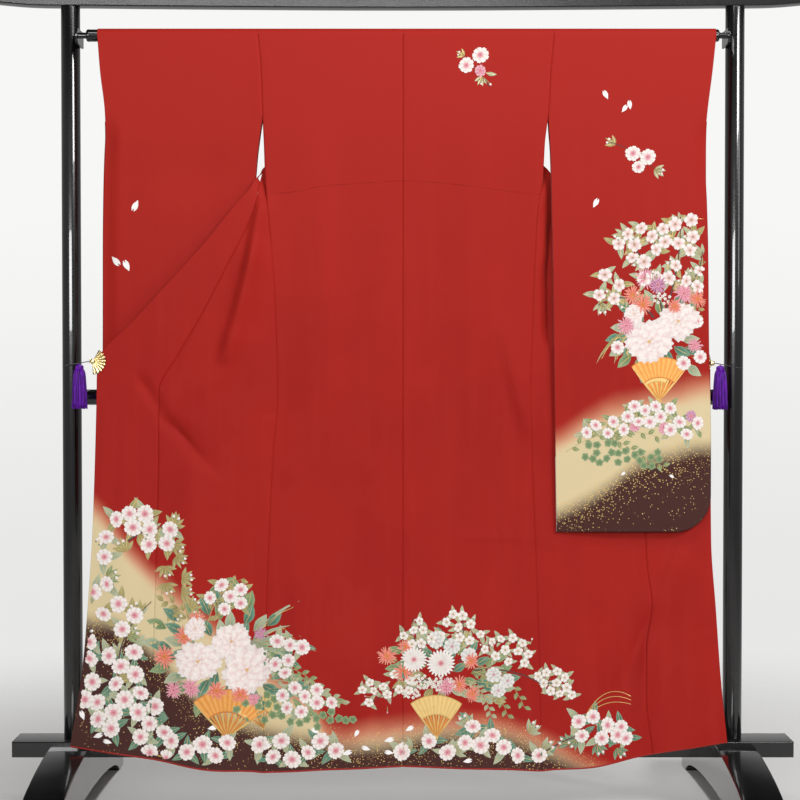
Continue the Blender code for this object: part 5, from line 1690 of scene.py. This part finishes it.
def trail(brush, points, length, tint="green", spacing=2, width=0.0014):
    # small leaves to both sides of a stalk
    route = brush.stem(points, width, "olive")
    for k, (x, z, turn) in enumerate(route[1::spacing]):
        side = 1 if k % 2 else -1
        leaf(brush, x, z, length, length * 0.56, turn + side * 0.95, tint, -0.3 * side)


def openFan(brush, x, z, radius, angle, spread=1.9, paper="gold", ribs=11):
    # a folding fan: bare ribs from the rivet, and pleated paper
    brush.at(x, z, 0, 1, 0.00006)
    for k in range(ribs):
        turn = angle + spread * (k / (ribs - 1) - 0.5)
        brush.blade(turn, radius * 0.97, radius * 0.045, "thin", "orange" if k % 2 else "gold", gilt=0.6)
    turns = angle + spread * (np.linspace(0, 1, 4 * ribs + 1) - 0.5)
    far = radius * np.array([0.52, 0.56, 0.78, 0.97, 1.0])
    low, middle, tip, edge = (np.array(part) for part in tints[paper])
    tone = np.where(np.arange(len(turns))[:, None, None] % 4 < 2, middle, tip) * np.ones((1, 5, 1))
    tone = np.where(np.array([1, 0, 0, 0, 1])[None, :, None] > 0, edge, tone)
    brush.ladder(far * np.cos(turns)[:, None], far * np.sin(turns)[:, None], tone, 0.5)
    brush.ring(6, radius * 0.05, 1.0, "round", "gold", 0, 0)


def grass(brush, x, z, length, angles, tint="sage"):
    for k, angle in enumerate(angles):
        leaf(brush, x, z, length * (0.8 + 0.2 * math.sin(2.3 * k + 1)), length * 0.055, angle, tint,
             -0.8 if math.cos(angle) > 0 else 0.8)


def fallen(brush, rows):
    # single petals lying loose: x, z, length, direction in degrees
    for x, z, length, angle in rows:
        brush.at(x, z)
        brush.blade(math.radians(angle), length, length * 0.5, "drop", "bright")


def scatter(zones, count, spacing, seed):
    # places at least a spacing apart in ovals of x, z and half widths
    draw = random.Random(seed)
    found = []
    for _ in range(count * 60):
        x, z, wide, tall = draw.choice(zones)
        far, turn = math.sqrt(draw.random()), draw.uniform(0, 2 * math.pi)
        place = (x + wide * far * math.cos(turn), z + tall * far * math.sin(turn))
        if all(math.dist(place, other) > spacing for other in found):
            found.append(place)
            if len(found) == count:
                break
    return found


def blossoms(brush, zones, count, radius, spacing, seed, kind=doubleBlossom, tint="white",
             greens=("teal", "sage")):
    # leaves first, then the flowers over them
    draw = random.Random(seed + 100)
    places = scatter(zones, count, spacing, seed)
    for x, z in places:
        first = draw.uniform(0, 2 * math.pi)
        for k in range(flower["leaves"]):
            size = radius * draw.uniform(1.7, 2.2)
            leaf(brush, x, z, size, size * 0.40, first + 2.1 * k + draw.uniform(-0.4, 0.4),
                 draw.choice(greens), draw.uniform(-0.5, 0.5))
    for x, z in places:
        kind(brush, x, z, radius * draw.uniform(0.88, 1.06), draw.uniform(0, 6), draw.uniform(0.78, 1.0),
             tint)


hemLine = Table([(-0.716, 0.161), (-0.630, 0.144), (-0.548, 0.135), (-0.420, 0.110), (-0.303, 0.104),
                 (0.0, 0.117), (0.299, 0.106), (0.420, 0.114), (0.541, 0.141), (0.702, 0.166)])
openingByHeight = Table([(z, x) for _, x, z, _ in openingLeft[::-1]])
overlapSeams = {side: Table([(z, x) for _, x, z, _ in rows[:12:-1]])
                for side, rows in ((left, frontInnerLeft), (right, frontInnerRight))}


def hungFace(x, z, lift):
    # the near face of back and fronts, with the hollows along their seams
    y = np.where(x < 0, left.depth(x, z), right.depth(x, z))
    for side in sides:
        for seam in (side.seamByHeight(z)[0], overlapSeams[side](z)[0]):
            y = y + cloth["seamDip"] * np.exp(-(((x - seam) / cloth["seamSoft"]) ** 2))
    y = y + cloth["seamDip"] * np.exp(-((x / cloth["seamSoft"]) ** 2))
    return y - cloth["wall"] / 2 - lift


def hungCovers(x, z):
    inside = (x > openingByHeight(z)[0] + flower["edgeFree"]) & (x < flower["rightmost"])
    return inside & (z > hemLine(x)[0] + flower["hemFree"])


def sleeveBrush(side, far):
    sign = 1 if far else -1

    def face(x, z, lift):
        return side.sleeveDepth(x, z, far) + sign * (cloth["wall"] / 2 + lift)

    def covers(x, z):
        inner, outer = side.sleeve(z)[:2]
        free = flower["edgeFree"]
        reach = np.abs(outer) - cornerCut(z - sleeveBottom) - free
        return (np.abs(x) > np.abs(inner) + free) & (np.abs(x) < reach) & (z > sleeveBottom + free)
    return Brush(face, covers)


def paintShoulder(brush):
    brush.stem([(0.186, 1.574), (0.168, 1.600), (0.132, 1.642)], 0.0016)
    leafSpray(brush, 0.170, 1.596, 0.022, -1.9, "sage", 4, 1.6, 1)
    leafSpray(brush, 0.132, 1.640, 0.020, 2.5, "olive", 3, 1.4, 2)
    leaf(brush, 0.178, 1.604, 0.024, 0.009, -0.3, "sage")
    bud(brush, 0.176, 1.592, 0.0075, -0.9)
    doubleBlossom(brush, 0.166, 1.642, 0.0185, 0.3, 0.94)
    doubleBlossom(brush, 0.136, 1.620, 0.0175, 1.2, 0.92)
    doubleBlossom(brush, 0.166, 1.608, 0.0135, 2.0, 0.9, "rose", "rose")


def paintSleeve(brush, s):
    # the arrangement of a long sleeve; s is 1, or -1 to turn it over to the other sleeve
    fallen(brush, [(s * 0.440, 1.548, 0.021, 118), (s * 0.470, 1.520, 0.019, 55),
                   (s * 0.488, 1.526, 0.020, 98), (s * 0.409, 1.316, 0.022, 62)])
    brush.stem([(s * 0.446, 1.456), (s * 0.500, 1.440), (s * 0.548, 1.392)], 0.0018)
    leafSpray(brush, s * 0.456, 1.450, 0.026, 2.4 if s > 0 else 0.7, "olive", 3, 1.3, 2)
    leafSpray(brush, s * 0.540, 1.398, 0.026, -0.5 if s > 0 else 3.6, "sage", 4, 1.6, 2)
    leaf(brush, s * 0.510, 1.420, 0.026, 0.010, -1.8, "teal")
    for x, z, radius in ((0.494, 1.432, 0.0175), (0.526, 1.424, 0.0185), (0.506, 1.403, 0.0145)):
        doubleBlossom(brush, s * x, z, radius, 7 * x, 0.93)
    # flowering branches over the top
    for points in (((0.560, 1.080), (0.600, 1.190), (0.596, 1.296)),
                   ((0.560, 1.090), (0.520, 1.220), (0.470, 1.262)),
                   ((0.540, 1.080), (0.480, 1.150), (0.420, 1.106)),
                   ((0.575, 1.100), (0.640, 1.160), (0.645, 1.222))):
        route = brush.stem([(s * x, z) for x, z in points], 0.0042)
        for k, (x, z, turn) in enumerate(route[4::3]):
            leafSpray(brush, x, z, 0.030, turn + (0.9 if k % 2 else -0.9), ("olive", "sage")[k % 2], 4, 1.7,
                      2)
    blossoms(brush, [(s * 0.596, 1.262, 0.040, 0.036), (s * 0.500, 1.236, 0.050, 0.040),
                     (s * 0.445, 1.140, 0.034, 0.034), (s * 0.618, 1.180, 0.034, 0.046),
                     (s * 0.540, 1.190, 0.060, 0.030)], 26, 0.0165, 0.026, 31 + s, cherry, "white",
             ("olive", "sage"))
    for x, z, radius, tint in ((0.520, 1.165, 0.024, "rose"), (0.548, 1.150, 0.022, "mauve"),
                               (0.494, 1.128, 0.022, "coral"), (0.604, 1.132, 0.024, "rose"),
                               (0.634, 1.120, 0.020, "coral"), (0.516, 1.108, 0.024, "coral"),
                               (0.480, 1.062, 0.022, "rose"), (0.584, 1.104, 0.018, "coral"),
                               (0.628, 1.020, 0.018, "rose")):
        pompom(brush, s * x, z, radius, tint, x * 9)
    for k, (x, z) in enumerate(scatter([(s * 0.560, 1.040, 0.095, 0.075)], 34, 0.019, 8)):
        angle = math.atan2(z - 1.04, x - s * 0.555)
        leaf(brush, x, z, 0.040, 0.021, angle, ("teal", "green", "teal", "sage")[k % 4], 0.3)
    grass(brush, s * 0.500, 1.060, 0.120, (3.5, 3.8, 4.1) if s > 0 else (-0.4, -0.7, -1.0), "olive")
    trail(brush, [(s * 0.600, 1.110), (s * 0.640, 1.120), (s * 0.660, 1.040)], 0.015, "olive")
    openFan(brush, s * 0.552, 0.900, 0.096, 1.57, 1.36, "orange", 11)
    openFan(brush, s * 0.548, 0.903, 0.074, 1.70, 1.10, "gold", 9)
    peony(brush, s * 0.592, 1.072, 0.048, 0.5)
    peony(brush, s * 0.530, 1.028, 0.055, 0.2)
    peony(brush, s * 0.498, 1.088, 0.026, 1.0)
    for x, z, radius in ((0.462, 1.016, 0.015), (0.604, 0.982, 0.016), (0.640, 0.995, 0.015),
                         (0.632, 1.072, 0.016)):
        doubleBlossom(brush, s * x, z, radius, 3 * x)
    starlets(brush, s * 0.556, 1.120, 0.022, 0.012, 12)
    # flowers strewn over the pale mist
    for points in (((0.350, 0.790), (0.450, 0.860), (0.560, 0.820)),
                   ((0.420, 0.845), (0.560, 0.880), (0.650, 0.830)),
                   ((0.440, 0.830), (0.500, 0.790), (0.560, 0.760))):
        trail(brush, [(s * x, z) for x, z in points], 0.017, "green", 1)
    blossoms(brush, [(s * 0.432, 0.846, 0.050, 0.022), (s * 0.530, 0.872, 0.070, 0.020),
                     (s * 0.610, 0.846, 0.040, 0.018)], 17, 0.0145, 0.024, 17 + s, doubleBlossom, "white",
             ("green", "sage"))
    for x, z, tint in ((0.562, 0.842, "rose"), (0.500, 0.846, "rose"), (0.620, 0.868, "mauve")):
        doubleBlossom(brush, s * x, z, 0.013, 2 * x, 0.9, tint, "rose")
    for x, z in scatter([(s * 0.445, 0.792, 0.060, 0.028), (s * 0.520, 0.776, 0.040, 0.020)], 22, 0.014, 4):
        brush.at(x, z, x * 60, 0.9)
        brush.ring(5, 0.0090, 0.9, "round", "green", 0, 0.05)
    fallen(brush, [(s * 0.470, 0.740, 0.012, 40), (s * 0.585, 0.735, 0.012, 150)])


def paintLeftHem(brush):
    # flowering branches down the opened front
    for points in (((-0.700, 0.330), (-0.690, 0.500), (-0.560, 0.610)),
                   ((-0.690, 0.420), (-0.660, 0.560), (-0.672, 0.660)),
                   ((-0.600, 0.250), (-0.640, 0.380), (-0.540, 0.470)),
                   ((-0.590, 0.600), (-0.540, 0.640), (-0.478, 0.628))):
        route = brush.stem(points, 0.0046)
        for k, (x, z, turn) in enumerate(route[3::3]):
            leafSpray(brush, x, z, 0.034, turn + (1.0 if k % 2 else -1.0),
                      ("olive", "sage", "green")[k % 3], 5, 1.9, 2)
    blossoms(brush, [(-0.575, 0.642, 0.042, 0.030), (-0.528, 0.616, 0.040, 0.030)], 9, 0.0195, 0.030, 3,
             greens=("olive", "sage"))
    blossoms(brush, [(-0.660, 0.590, 0.030, 0.050), (-0.650, 0.470, 0.045, 0.050),
                     (-0.600, 0.450, 0.030, 0.040)], 14, 0.0195, 0.034, 5, greens=("olive", "sage"))
    blossoms(brush, [(-0.660, 0.350, 0.050, 0.040), (-0.600, 0.330, 0.040, 0.040),
                     (-0.690, 0.280, 0.030, 0.040)], 12, 0.0205, 0.034, 7, greens=("teal", "sage"))
    blossoms(brush, [(-0.620, 0.230, 0.055, 0.040), (-0.560, 0.250, 0.040, 0.030),
                     (-0.545, 0.190, 0.035, 0.028)], 12, 0.0205, 0.034, 9, greens=("teal", "sage"))
    blossoms(brush, [(-0.470, 0.150, 0.080, 0.024), (-0.400, 0.165, 0.060, 0.026)], 9, 0.0205, 0.036, 12)
    blossoms(brush, [(-0.240, 0.150, 0.080, 0.026), (-0.160, 0.155, 0.030, 0.020)], 11, 0.0200, 0.035, 14)
    for x, z in scatter([(-0.500, 0.540, 0.030, 0.060), (-0.470, 0.470, 0.040, 0.050)], 9, 0.026, 18):
        leafSpray(brush, x, z, 0.030, x * 40, "olive", 5, 2.4, 2)
    # great flowers above an open fan
    for k, (x, z) in enumerate(scatter([(-0.400, 0.372, 0.125, 0.090), (-0.350, 0.300, 0.120, 0.050)], 60,
                                       0.021, 21)):
        angle = math.atan2(z - 0.34, x + 0.39)
        leaf(brush, x, z, 0.046, 0.023, angle, ("teal", "teal", "green", "sage")[k % 4], 0.3)
    grass(brush, -0.330, 0.370, 0.150, (0.35, 0.62, 0.9, 1.15, 0.1), "sage")
    trail(brush, [(-0.420, 0.420), (-0.400, 0.500), (-0.340, 0.520)], 0.018, "olive")
    trail(brush, [(-0.450, 0.410), (-0.480, 0.480), (-0.520, 0.470)], 0.020, "olive")
    trail(brush, [(-0.290, 0.330), (-0.220, 0.340), (-0.170, 0.270)], 0.017, "green", 1)
    trail(brush, [(-0.280, 0.300), (-0.200, 0.300), (-0.130, 0.250)], 0.017, "sage", 1)
    for x, z, radius, tint in ((-0.470, 0.395, 0.024, "coral"), (-0.442, 0.432, 0.020, "coral"),
                               (-0.512, 0.352, 0.026, "coral"), (-0.455, 0.285, 0.022, "rose"),
                               (-0.400, 0.278, 0.022, "coral"), (-0.350, 0.268, 0.020, "coral"),
                               (-0.305, 0.400, 0.016, "mauve"), (-0.492, 0.280, 0.020, "rose"),
                               (-0.320, 0.258, 0.018, "rose")):
        pompom(brush, x, z, radius, tint, x * 9)
    openFan(brush, -0.380, 0.176, 0.105, 1.45, 1.7, "orange", 13)
    openFan(brush, -0.300, 0.196, 0.070, 1.90, 1.4, "gold", 9)
    peony(brush, -0.368, 0.384, 0.046, 0.4)
    peony(brush, -0.440, 0.342, 0.052, 0.2)
    peony(brush, -0.335, 0.322, 0.058, 0.7)
    peony(brush, -0.446, 0.412, 0.026, 1.4)
    blossoms(brush, [(-0.385, 0.482, 0.045, 0.028)], 8, 0.0165, 0.026, 23, greens=("olive", "green"))
    blossoms(brush, [(-0.245, 0.372, 0.034, 0.030), (-0.255, 0.330, 0.024, 0.016)], 6, 0.0170, 0.026, 24)
    blossoms(brush, [(-0.210, 0.258, 0.070, 0.028)], 8, 0.0165, 0.028, 27, greens=("green", "sage"))
    for x, z in scatter([(-0.300, 0.240, 0.060, 0.030), (-0.180, 0.216, 0.090, 0.018)], 26, 0.015, 29):
        brush.at(x, z, x * 60, 0.9)
        brush.ring(5, 0.0095, 0.9, "round", "green", 0, 0.05)
    fallen(brush, [(-0.685, 0.215, 0.022, 110), (-0.665, 0.178, 0.022, 20), (-0.625, 0.166, 0.020, 165),
                   (-0.420, 0.196, 0.021, 10), (-0.300, 0.152, 0.020, 30), (-0.180, 0.186, 0.020, 150),
                   (-0.130, 0.140, 0.022, 20), (-0.104, 0.178, 0.018, 60), (-0.070, 0.150, 0.020, 160)])


def paintCentreHem(brush):
    # plum branches, chrysanthemums and an open fan
    for points in (((0.060, 0.300), (-0.010, 0.300), (-0.075, 0.245)),
                   ((0.060, 0.330), (0.010, 0.390), (0.024, 0.436)),
                   ((0.100, 0.350), (0.150, 0.410), (0.120, 0.440)),
                   ((0.120, 0.340), (0.190, 0.390), (0.250, 0.380)),
                   ((0.150, 0.320), (0.270, 0.330), (0.330, 0.262)),
                   ((0.300, 0.290), (0.330, 0.300), (0.365, 0.262))):
        brush.stem(points, 0.0034)
    for x, z in scatter([(-0.050, 0.270, 0.040, 0.030), (0.020, 0.400, 0.024, 0.034),
                         (0.118, 0.424, 0.040, 0.022), (0.225, 0.375, 0.060, 0.020),
                         (0.330, 0.290, 0.036, 0.034)], 18, 0.022, 44):
        bud(brush, x, z, 0.0058, x * 50, "rose" if int(x * 1000) % 2 else "white")
    for zones, count, radius, spacing, seed in (
            ([(-0.056, 0.272, 0.036, 0.026), (0.000, 0.300, 0.026, 0.028)], 11, 0.0112, 0.019, 41),
            ([(0.024, 0.402, 0.026, 0.034), (0.070, 0.392, 0.020, 0.012)], 8, 0.0115, 0.020, 42),
            ([(0.118, 0.424, 0.036, 0.020), (0.150, 0.394, 0.030, 0.016)], 10, 0.0115, 0.020, 43),
            ([(0.215, 0.370, 0.050, 0.022), (0.250, 0.350, 0.040, 0.016)], 13, 0.0112, 0.019, 45),
            ([(0.320, 0.300, 0.030, 0.026), (0.348, 0.268, 0.024, 0.014)], 12, 0.0112, 0.019, 46)):
        blossoms(brush, zones, count, radius, spacing, seed, cherry, "snow", ("sage",))
    for k, (x, z) in enumerate(scatter([(0.075, 0.330, 0.090, 0.055), (0.170, 0.300, 0.060, 0.045)], 52,
                                       0.018, 47)):
        leaf(brush, x, z, 0.034, 0.018, math.atan2(z - 0.31, x - 0.09),
             ("teal", "green", "sage", "olive")[k % 4], 0.3)
    trail(brush, [(0.150, 0.320), (0.200, 0.300), (0.226, 0.222)], 0.016, "green", 1)
    trail(brush, [(0.160, 0.330), (0.230, 0.320), (0.262, 0.240)], 0.016, "green", 1)
    trail(brush, [(0.140, 0.300), (0.176, 0.280), (0.190, 0.224)], 0.015, "sage", 1)
    for x, z, radius, tint in ((-0.034, 0.352, 0.022, "coral"), (0.006, 0.372, 0.018, "coral"),
                               (0.002, 0.318, 0.022, "coral"), (0.122, 0.290, 0.020, "coral"),
                               (0.148, 0.340, 0.018, "coral"), (0.094, 0.286, 0.020, "rose"),
                               (0.150, 0.270, 0.018, "coral")):
        pompom(brush, x, z, radius, tint, x * 9)
    openFan(brush, 0.072, 0.176, 0.092, 1.57, 1.30, "gold", 11)
    for x, z, radius in ((0.070, 0.386, 0.0195), (0.106, 0.372, 0.0190), (0.142, 0.352, 0.0185),
                         (0.196, 0.310, 0.0180), (0.226, 0.296, 0.0165), (0.206, 0.276, 0.0165)):
        doubleBlossom(brush, x, z, radius, 30 * x, 0.95, "grey", "grey")
    chrysanthemum(brush, 0.024, 0.344, 0.029, 0.2, 0.92)
    chrysanthemum(brush, 0.082, 0.336, 0.031, 0.5, 0.95)
    starlets(brush, 0.040, 0.296, 0.022, 0.016, 24)
    starlets(brush, 0.088, 0.290, 0.026, 0.016, 30)
    starlets(brush, 0.018, 0.270, 0.018, 0.010, 14)
    blossoms(brush, [(0.050, 0.150, 0.060, 0.020)], 4, 0.0190, 0.040, 51)
    blossoms(brush, [(0.190, 0.160, 0.060, 0.022), (0.250, 0.140, 0.050, 0.020),
                     (0.170, 0.190, 0.030, 0.014)], 10, 0.0200, 0.033, 52)
    for x, z, angle in ((0.020, 0.150, 2.6), (0.110, 0.146, 0.3), (0.300, 0.150, 0.2), (0.140, 0.200, 1.9),
                        (0.270, 0.186, 0.6)):
        leafSpray(brush, x, z, 0.034, angle, "sage", 4, 1.6, 2)
    fallen(brush, [(-0.040, 0.168, 0.022, 15), (-0.020, 0.142, 0.020, 170), (0.006, 0.190, 0.020, 30),
                   (-0.010, 0.120, 0.020, 5), (0.130, 0.124, 0.020, 10)])


def paintRightHem(brush):
    brush.stem([(0.300, 0.140), (0.360, 0.180), (0.440, 0.196)], 0.0038)
    for bend in (0.0, 0.018, 0.034):
        brush.stem([(0.392, 0.214), (0.430, 0.262 + bend), (0.494, 0.244 + bend / 2)], 0.0022, "gold", 0.6)
    blossoms(brush, [(0.400, 0.196, 0.046, 0.024), (0.440, 0.190, 0.030, 0.024),
                     (0.376, 0.182, 0.020, 0.012)], 10, 0.0185, 0.030, 61)
    blossoms(brush, [(0.480, 0.176, 0.022, 0.022)], 3, 0.0165, 0.026, 62)
    for x, z, angle in ((0.378, 0.172, 3.6), (0.420, 0.160, 4.9), (0.462, 0.150, 5.2), (0.360, 0.160, 2.6)):
        leafSpray(brush, x, z, 0.030, angle, "teal", 4, 1.5, 2)


print("flowers")
dyedPaint = makeDyedPaint("dyedPaint")
brushes = {}
brushes["body_left"] = Brush(hungFace, hungCovers)
paintLeftHem(brushes["body_left"])
brushes["body_right"] = Brush(hungFace, hungCovers)
paintShoulder(brushes["body_right"])
paintCentreHem(brushes["body_right"])
paintRightHem(brushes["body_right"])
brushes["sleeve_right"] = sleeveBrush(right, False)
paintSleeve(brushes["sleeve_right"], 1)
brushes["sleeve_left"] = sleeveBrush(left, False)
fallen(brushes["sleeve_left"], [(-0.569, 1.332, 0.026, 244), (-0.626, 1.211, 0.026, 312),
                                (-0.588, 1.180, 0.026, 116)])
farFlowers = sleeveBrush(left, True)
paintSleeve(farFlowers, -1)
flowers = {name: [brush.piece(f"flowers_{name}")] for name, brush in brushes.items()}
flowers["sleeve_left"].append(farFlowers.piece("flowers_sleeve_left_far"))

# Floor, light and camera
studio = {
    "backdrop": (0.93, 0.93, 0.92),
    "low": (0.80, 0.80, 0.79),  # backdrop near the floor
    "surroundings": 0.34,
    "ceiling": 0.08,
    "horizon": (-0.14, 0.10),  # slope over which the backdrop gets lighter
    "overhead": (0.30, 0.55),  # slope over which the ceiling begins
    "floorRadius": 4.2,
    "floorFade": (0.7, 2.6),
    "floorTones": ((0.65, 0.645, 0.635), (0.69, 0.685, 0.675)),
    "cameraX": -0.006,
    "cameraY": -4.058,
    "cameraZ": 1.0,
    "pitch": 1.4,
    "lens": 83.34,
    # place, target, width and height, watts
    "window": ((-1.2, -8.4, 2.38), (-1.2, 0, 2.3), (4.4, 1.62), 320),
    "key": ((4.2, -5.6, 4.8), (0, 0, 0.9), (2.2, 1.6), 262),
    "top": ((0.4, -1.9, 3.7), (0, 0, 1.0), (2.0, 0.8), 28),
    "strip": ((3.0, -1.9, 2.5), (0, 0, 1.2), (0.35, 2.0), 14),
    "rear": ((0.0, 2.2, 4.0), (0, 0.4, 0.0), (0.6, 0.8), 90),
}


def makeFloor():
    # pale, fading out into the backdrop some way behind the stand
    mesh = bpy.data.meshes.new("floor")
    made = bmesh.new()
    bmesh.ops.create_circle(made, cap_ends=True, radius=studio["floorRadius"], segments=96)
    made.to_mesh(mesh)
    made.free()
    floor = bpy.data.objects.new("floor", mesh)
    bpy.context.scene.collection.objects.link(floor)
    paint = Paint("floorPaint", Roughness=0.8, Specular_IOR_Level=0.2)
    where = paint.place()
    x = paint.axis(where, 0)
    y = paint.axis(where, 1)
    tone = paint.mix(paint.noise(where, 3, 2, 0.5), *studio["floorTones"])
    far = (x * x + y * y).root()
    mesh.materials.append(paint.wear(Base_Color=tone, Alpha=1 - far.rises(*studio["floorFade"])))


def areaLight(name):
    place, target, size, power = studio[name]
    data = bpy.data.lights.new(name, "AREA")
    data.shape = "RECTANGLE"
    data.size, data.size_y = size
    data.energy = power
    light = bpy.data.objects.new(name, data)
    light.location = place
    light.rotation_euler = (Vector(target) - Vector(place)).to_track_quat("-Z", "Y").to_euler()
    bpy.context.scene.collection.objects.link(light)


def makeWorld():
    # seen as a pale backdrop, a little darker low down, but lighting less than that
    world = bpy.data.worlds.new("studio")
    world.use_nodes = True
    tree = world.node_tree
    back = tree.nodes["Background"]
    sky = tree.nodes.new("ShaderNodeTexCoord")
    parts = tree.nodes.new("ShaderNodeSeparateXYZ")
    tree.links.new(sky.outputs["Generated"], parts.inputs[0])
    tone = tree.nodes.new("ShaderNodeMix")
    above = tree.nodes.new("ShaderNodeMix")
    for mixed, slopes in ((tone, "horizon"), (above, "overhead")):
        mixed.data_type = "RGBA"
        slope = tree.nodes.new("ShaderNodeMapRange")
        slope.interpolation_type = "SMOOTHSTEP"
        slope.inputs["From Min"].default_value, slope.inputs["From Max"].default_value = studio[slopes]
        tree.links.new(parts.outputs[2], slope.inputs["Value"])
        tree.links.new(slope.outputs[0], mixed.inputs[0])
    tone.inputs[6].default_value = (*studio["low"], 1)
    tone.inputs[7].default_value = (*studio["backdrop"], 1)
    above.inputs[7].default_value = (*[studio["ceiling"]] * 3, 1)
    tree.links.new(tone.outputs[2], above.inputs[6])
    tree.links.new(above.outputs[2], back.inputs["Color"])
    seen = tree.nodes.new("ShaderNodeLightPath")
    strength = tree.nodes.new("ShaderNodeMapRange")
    strength.inputs["To Min"].default_value = studio["surroundings"]
    tree.links.new(seen.outputs["Is Camera Ray"], strength.inputs["Value"])
    tree.links.new(strength.outputs[0], back.inputs["Strength"])
    bpy.context.scene.world = world


def makeStudio():
    makeFloor()
    makeWorld()
    for name in ("window", "key", "top", "strip", "rear"):
        areaLight(name)
    data = bpy.data.cameras.new("camera")
    data.lens = studio["lens"]
    data.sensor_width = 36
    camera = bpy.data.objects.new("camera", data)
    camera.location = (studio["cameraX"], studio["cameraY"], studio["cameraZ"])
    camera.rotation_euler = (math.radians(90 - studio["pitch"]), 0, 0)
    bpy.context.scene.collection.objects.link(camera)
    bpy.context.scene.camera = camera
    bpy.context.scene.view_settings.view_transform = "Standard"


print("studio")
makeStudio()
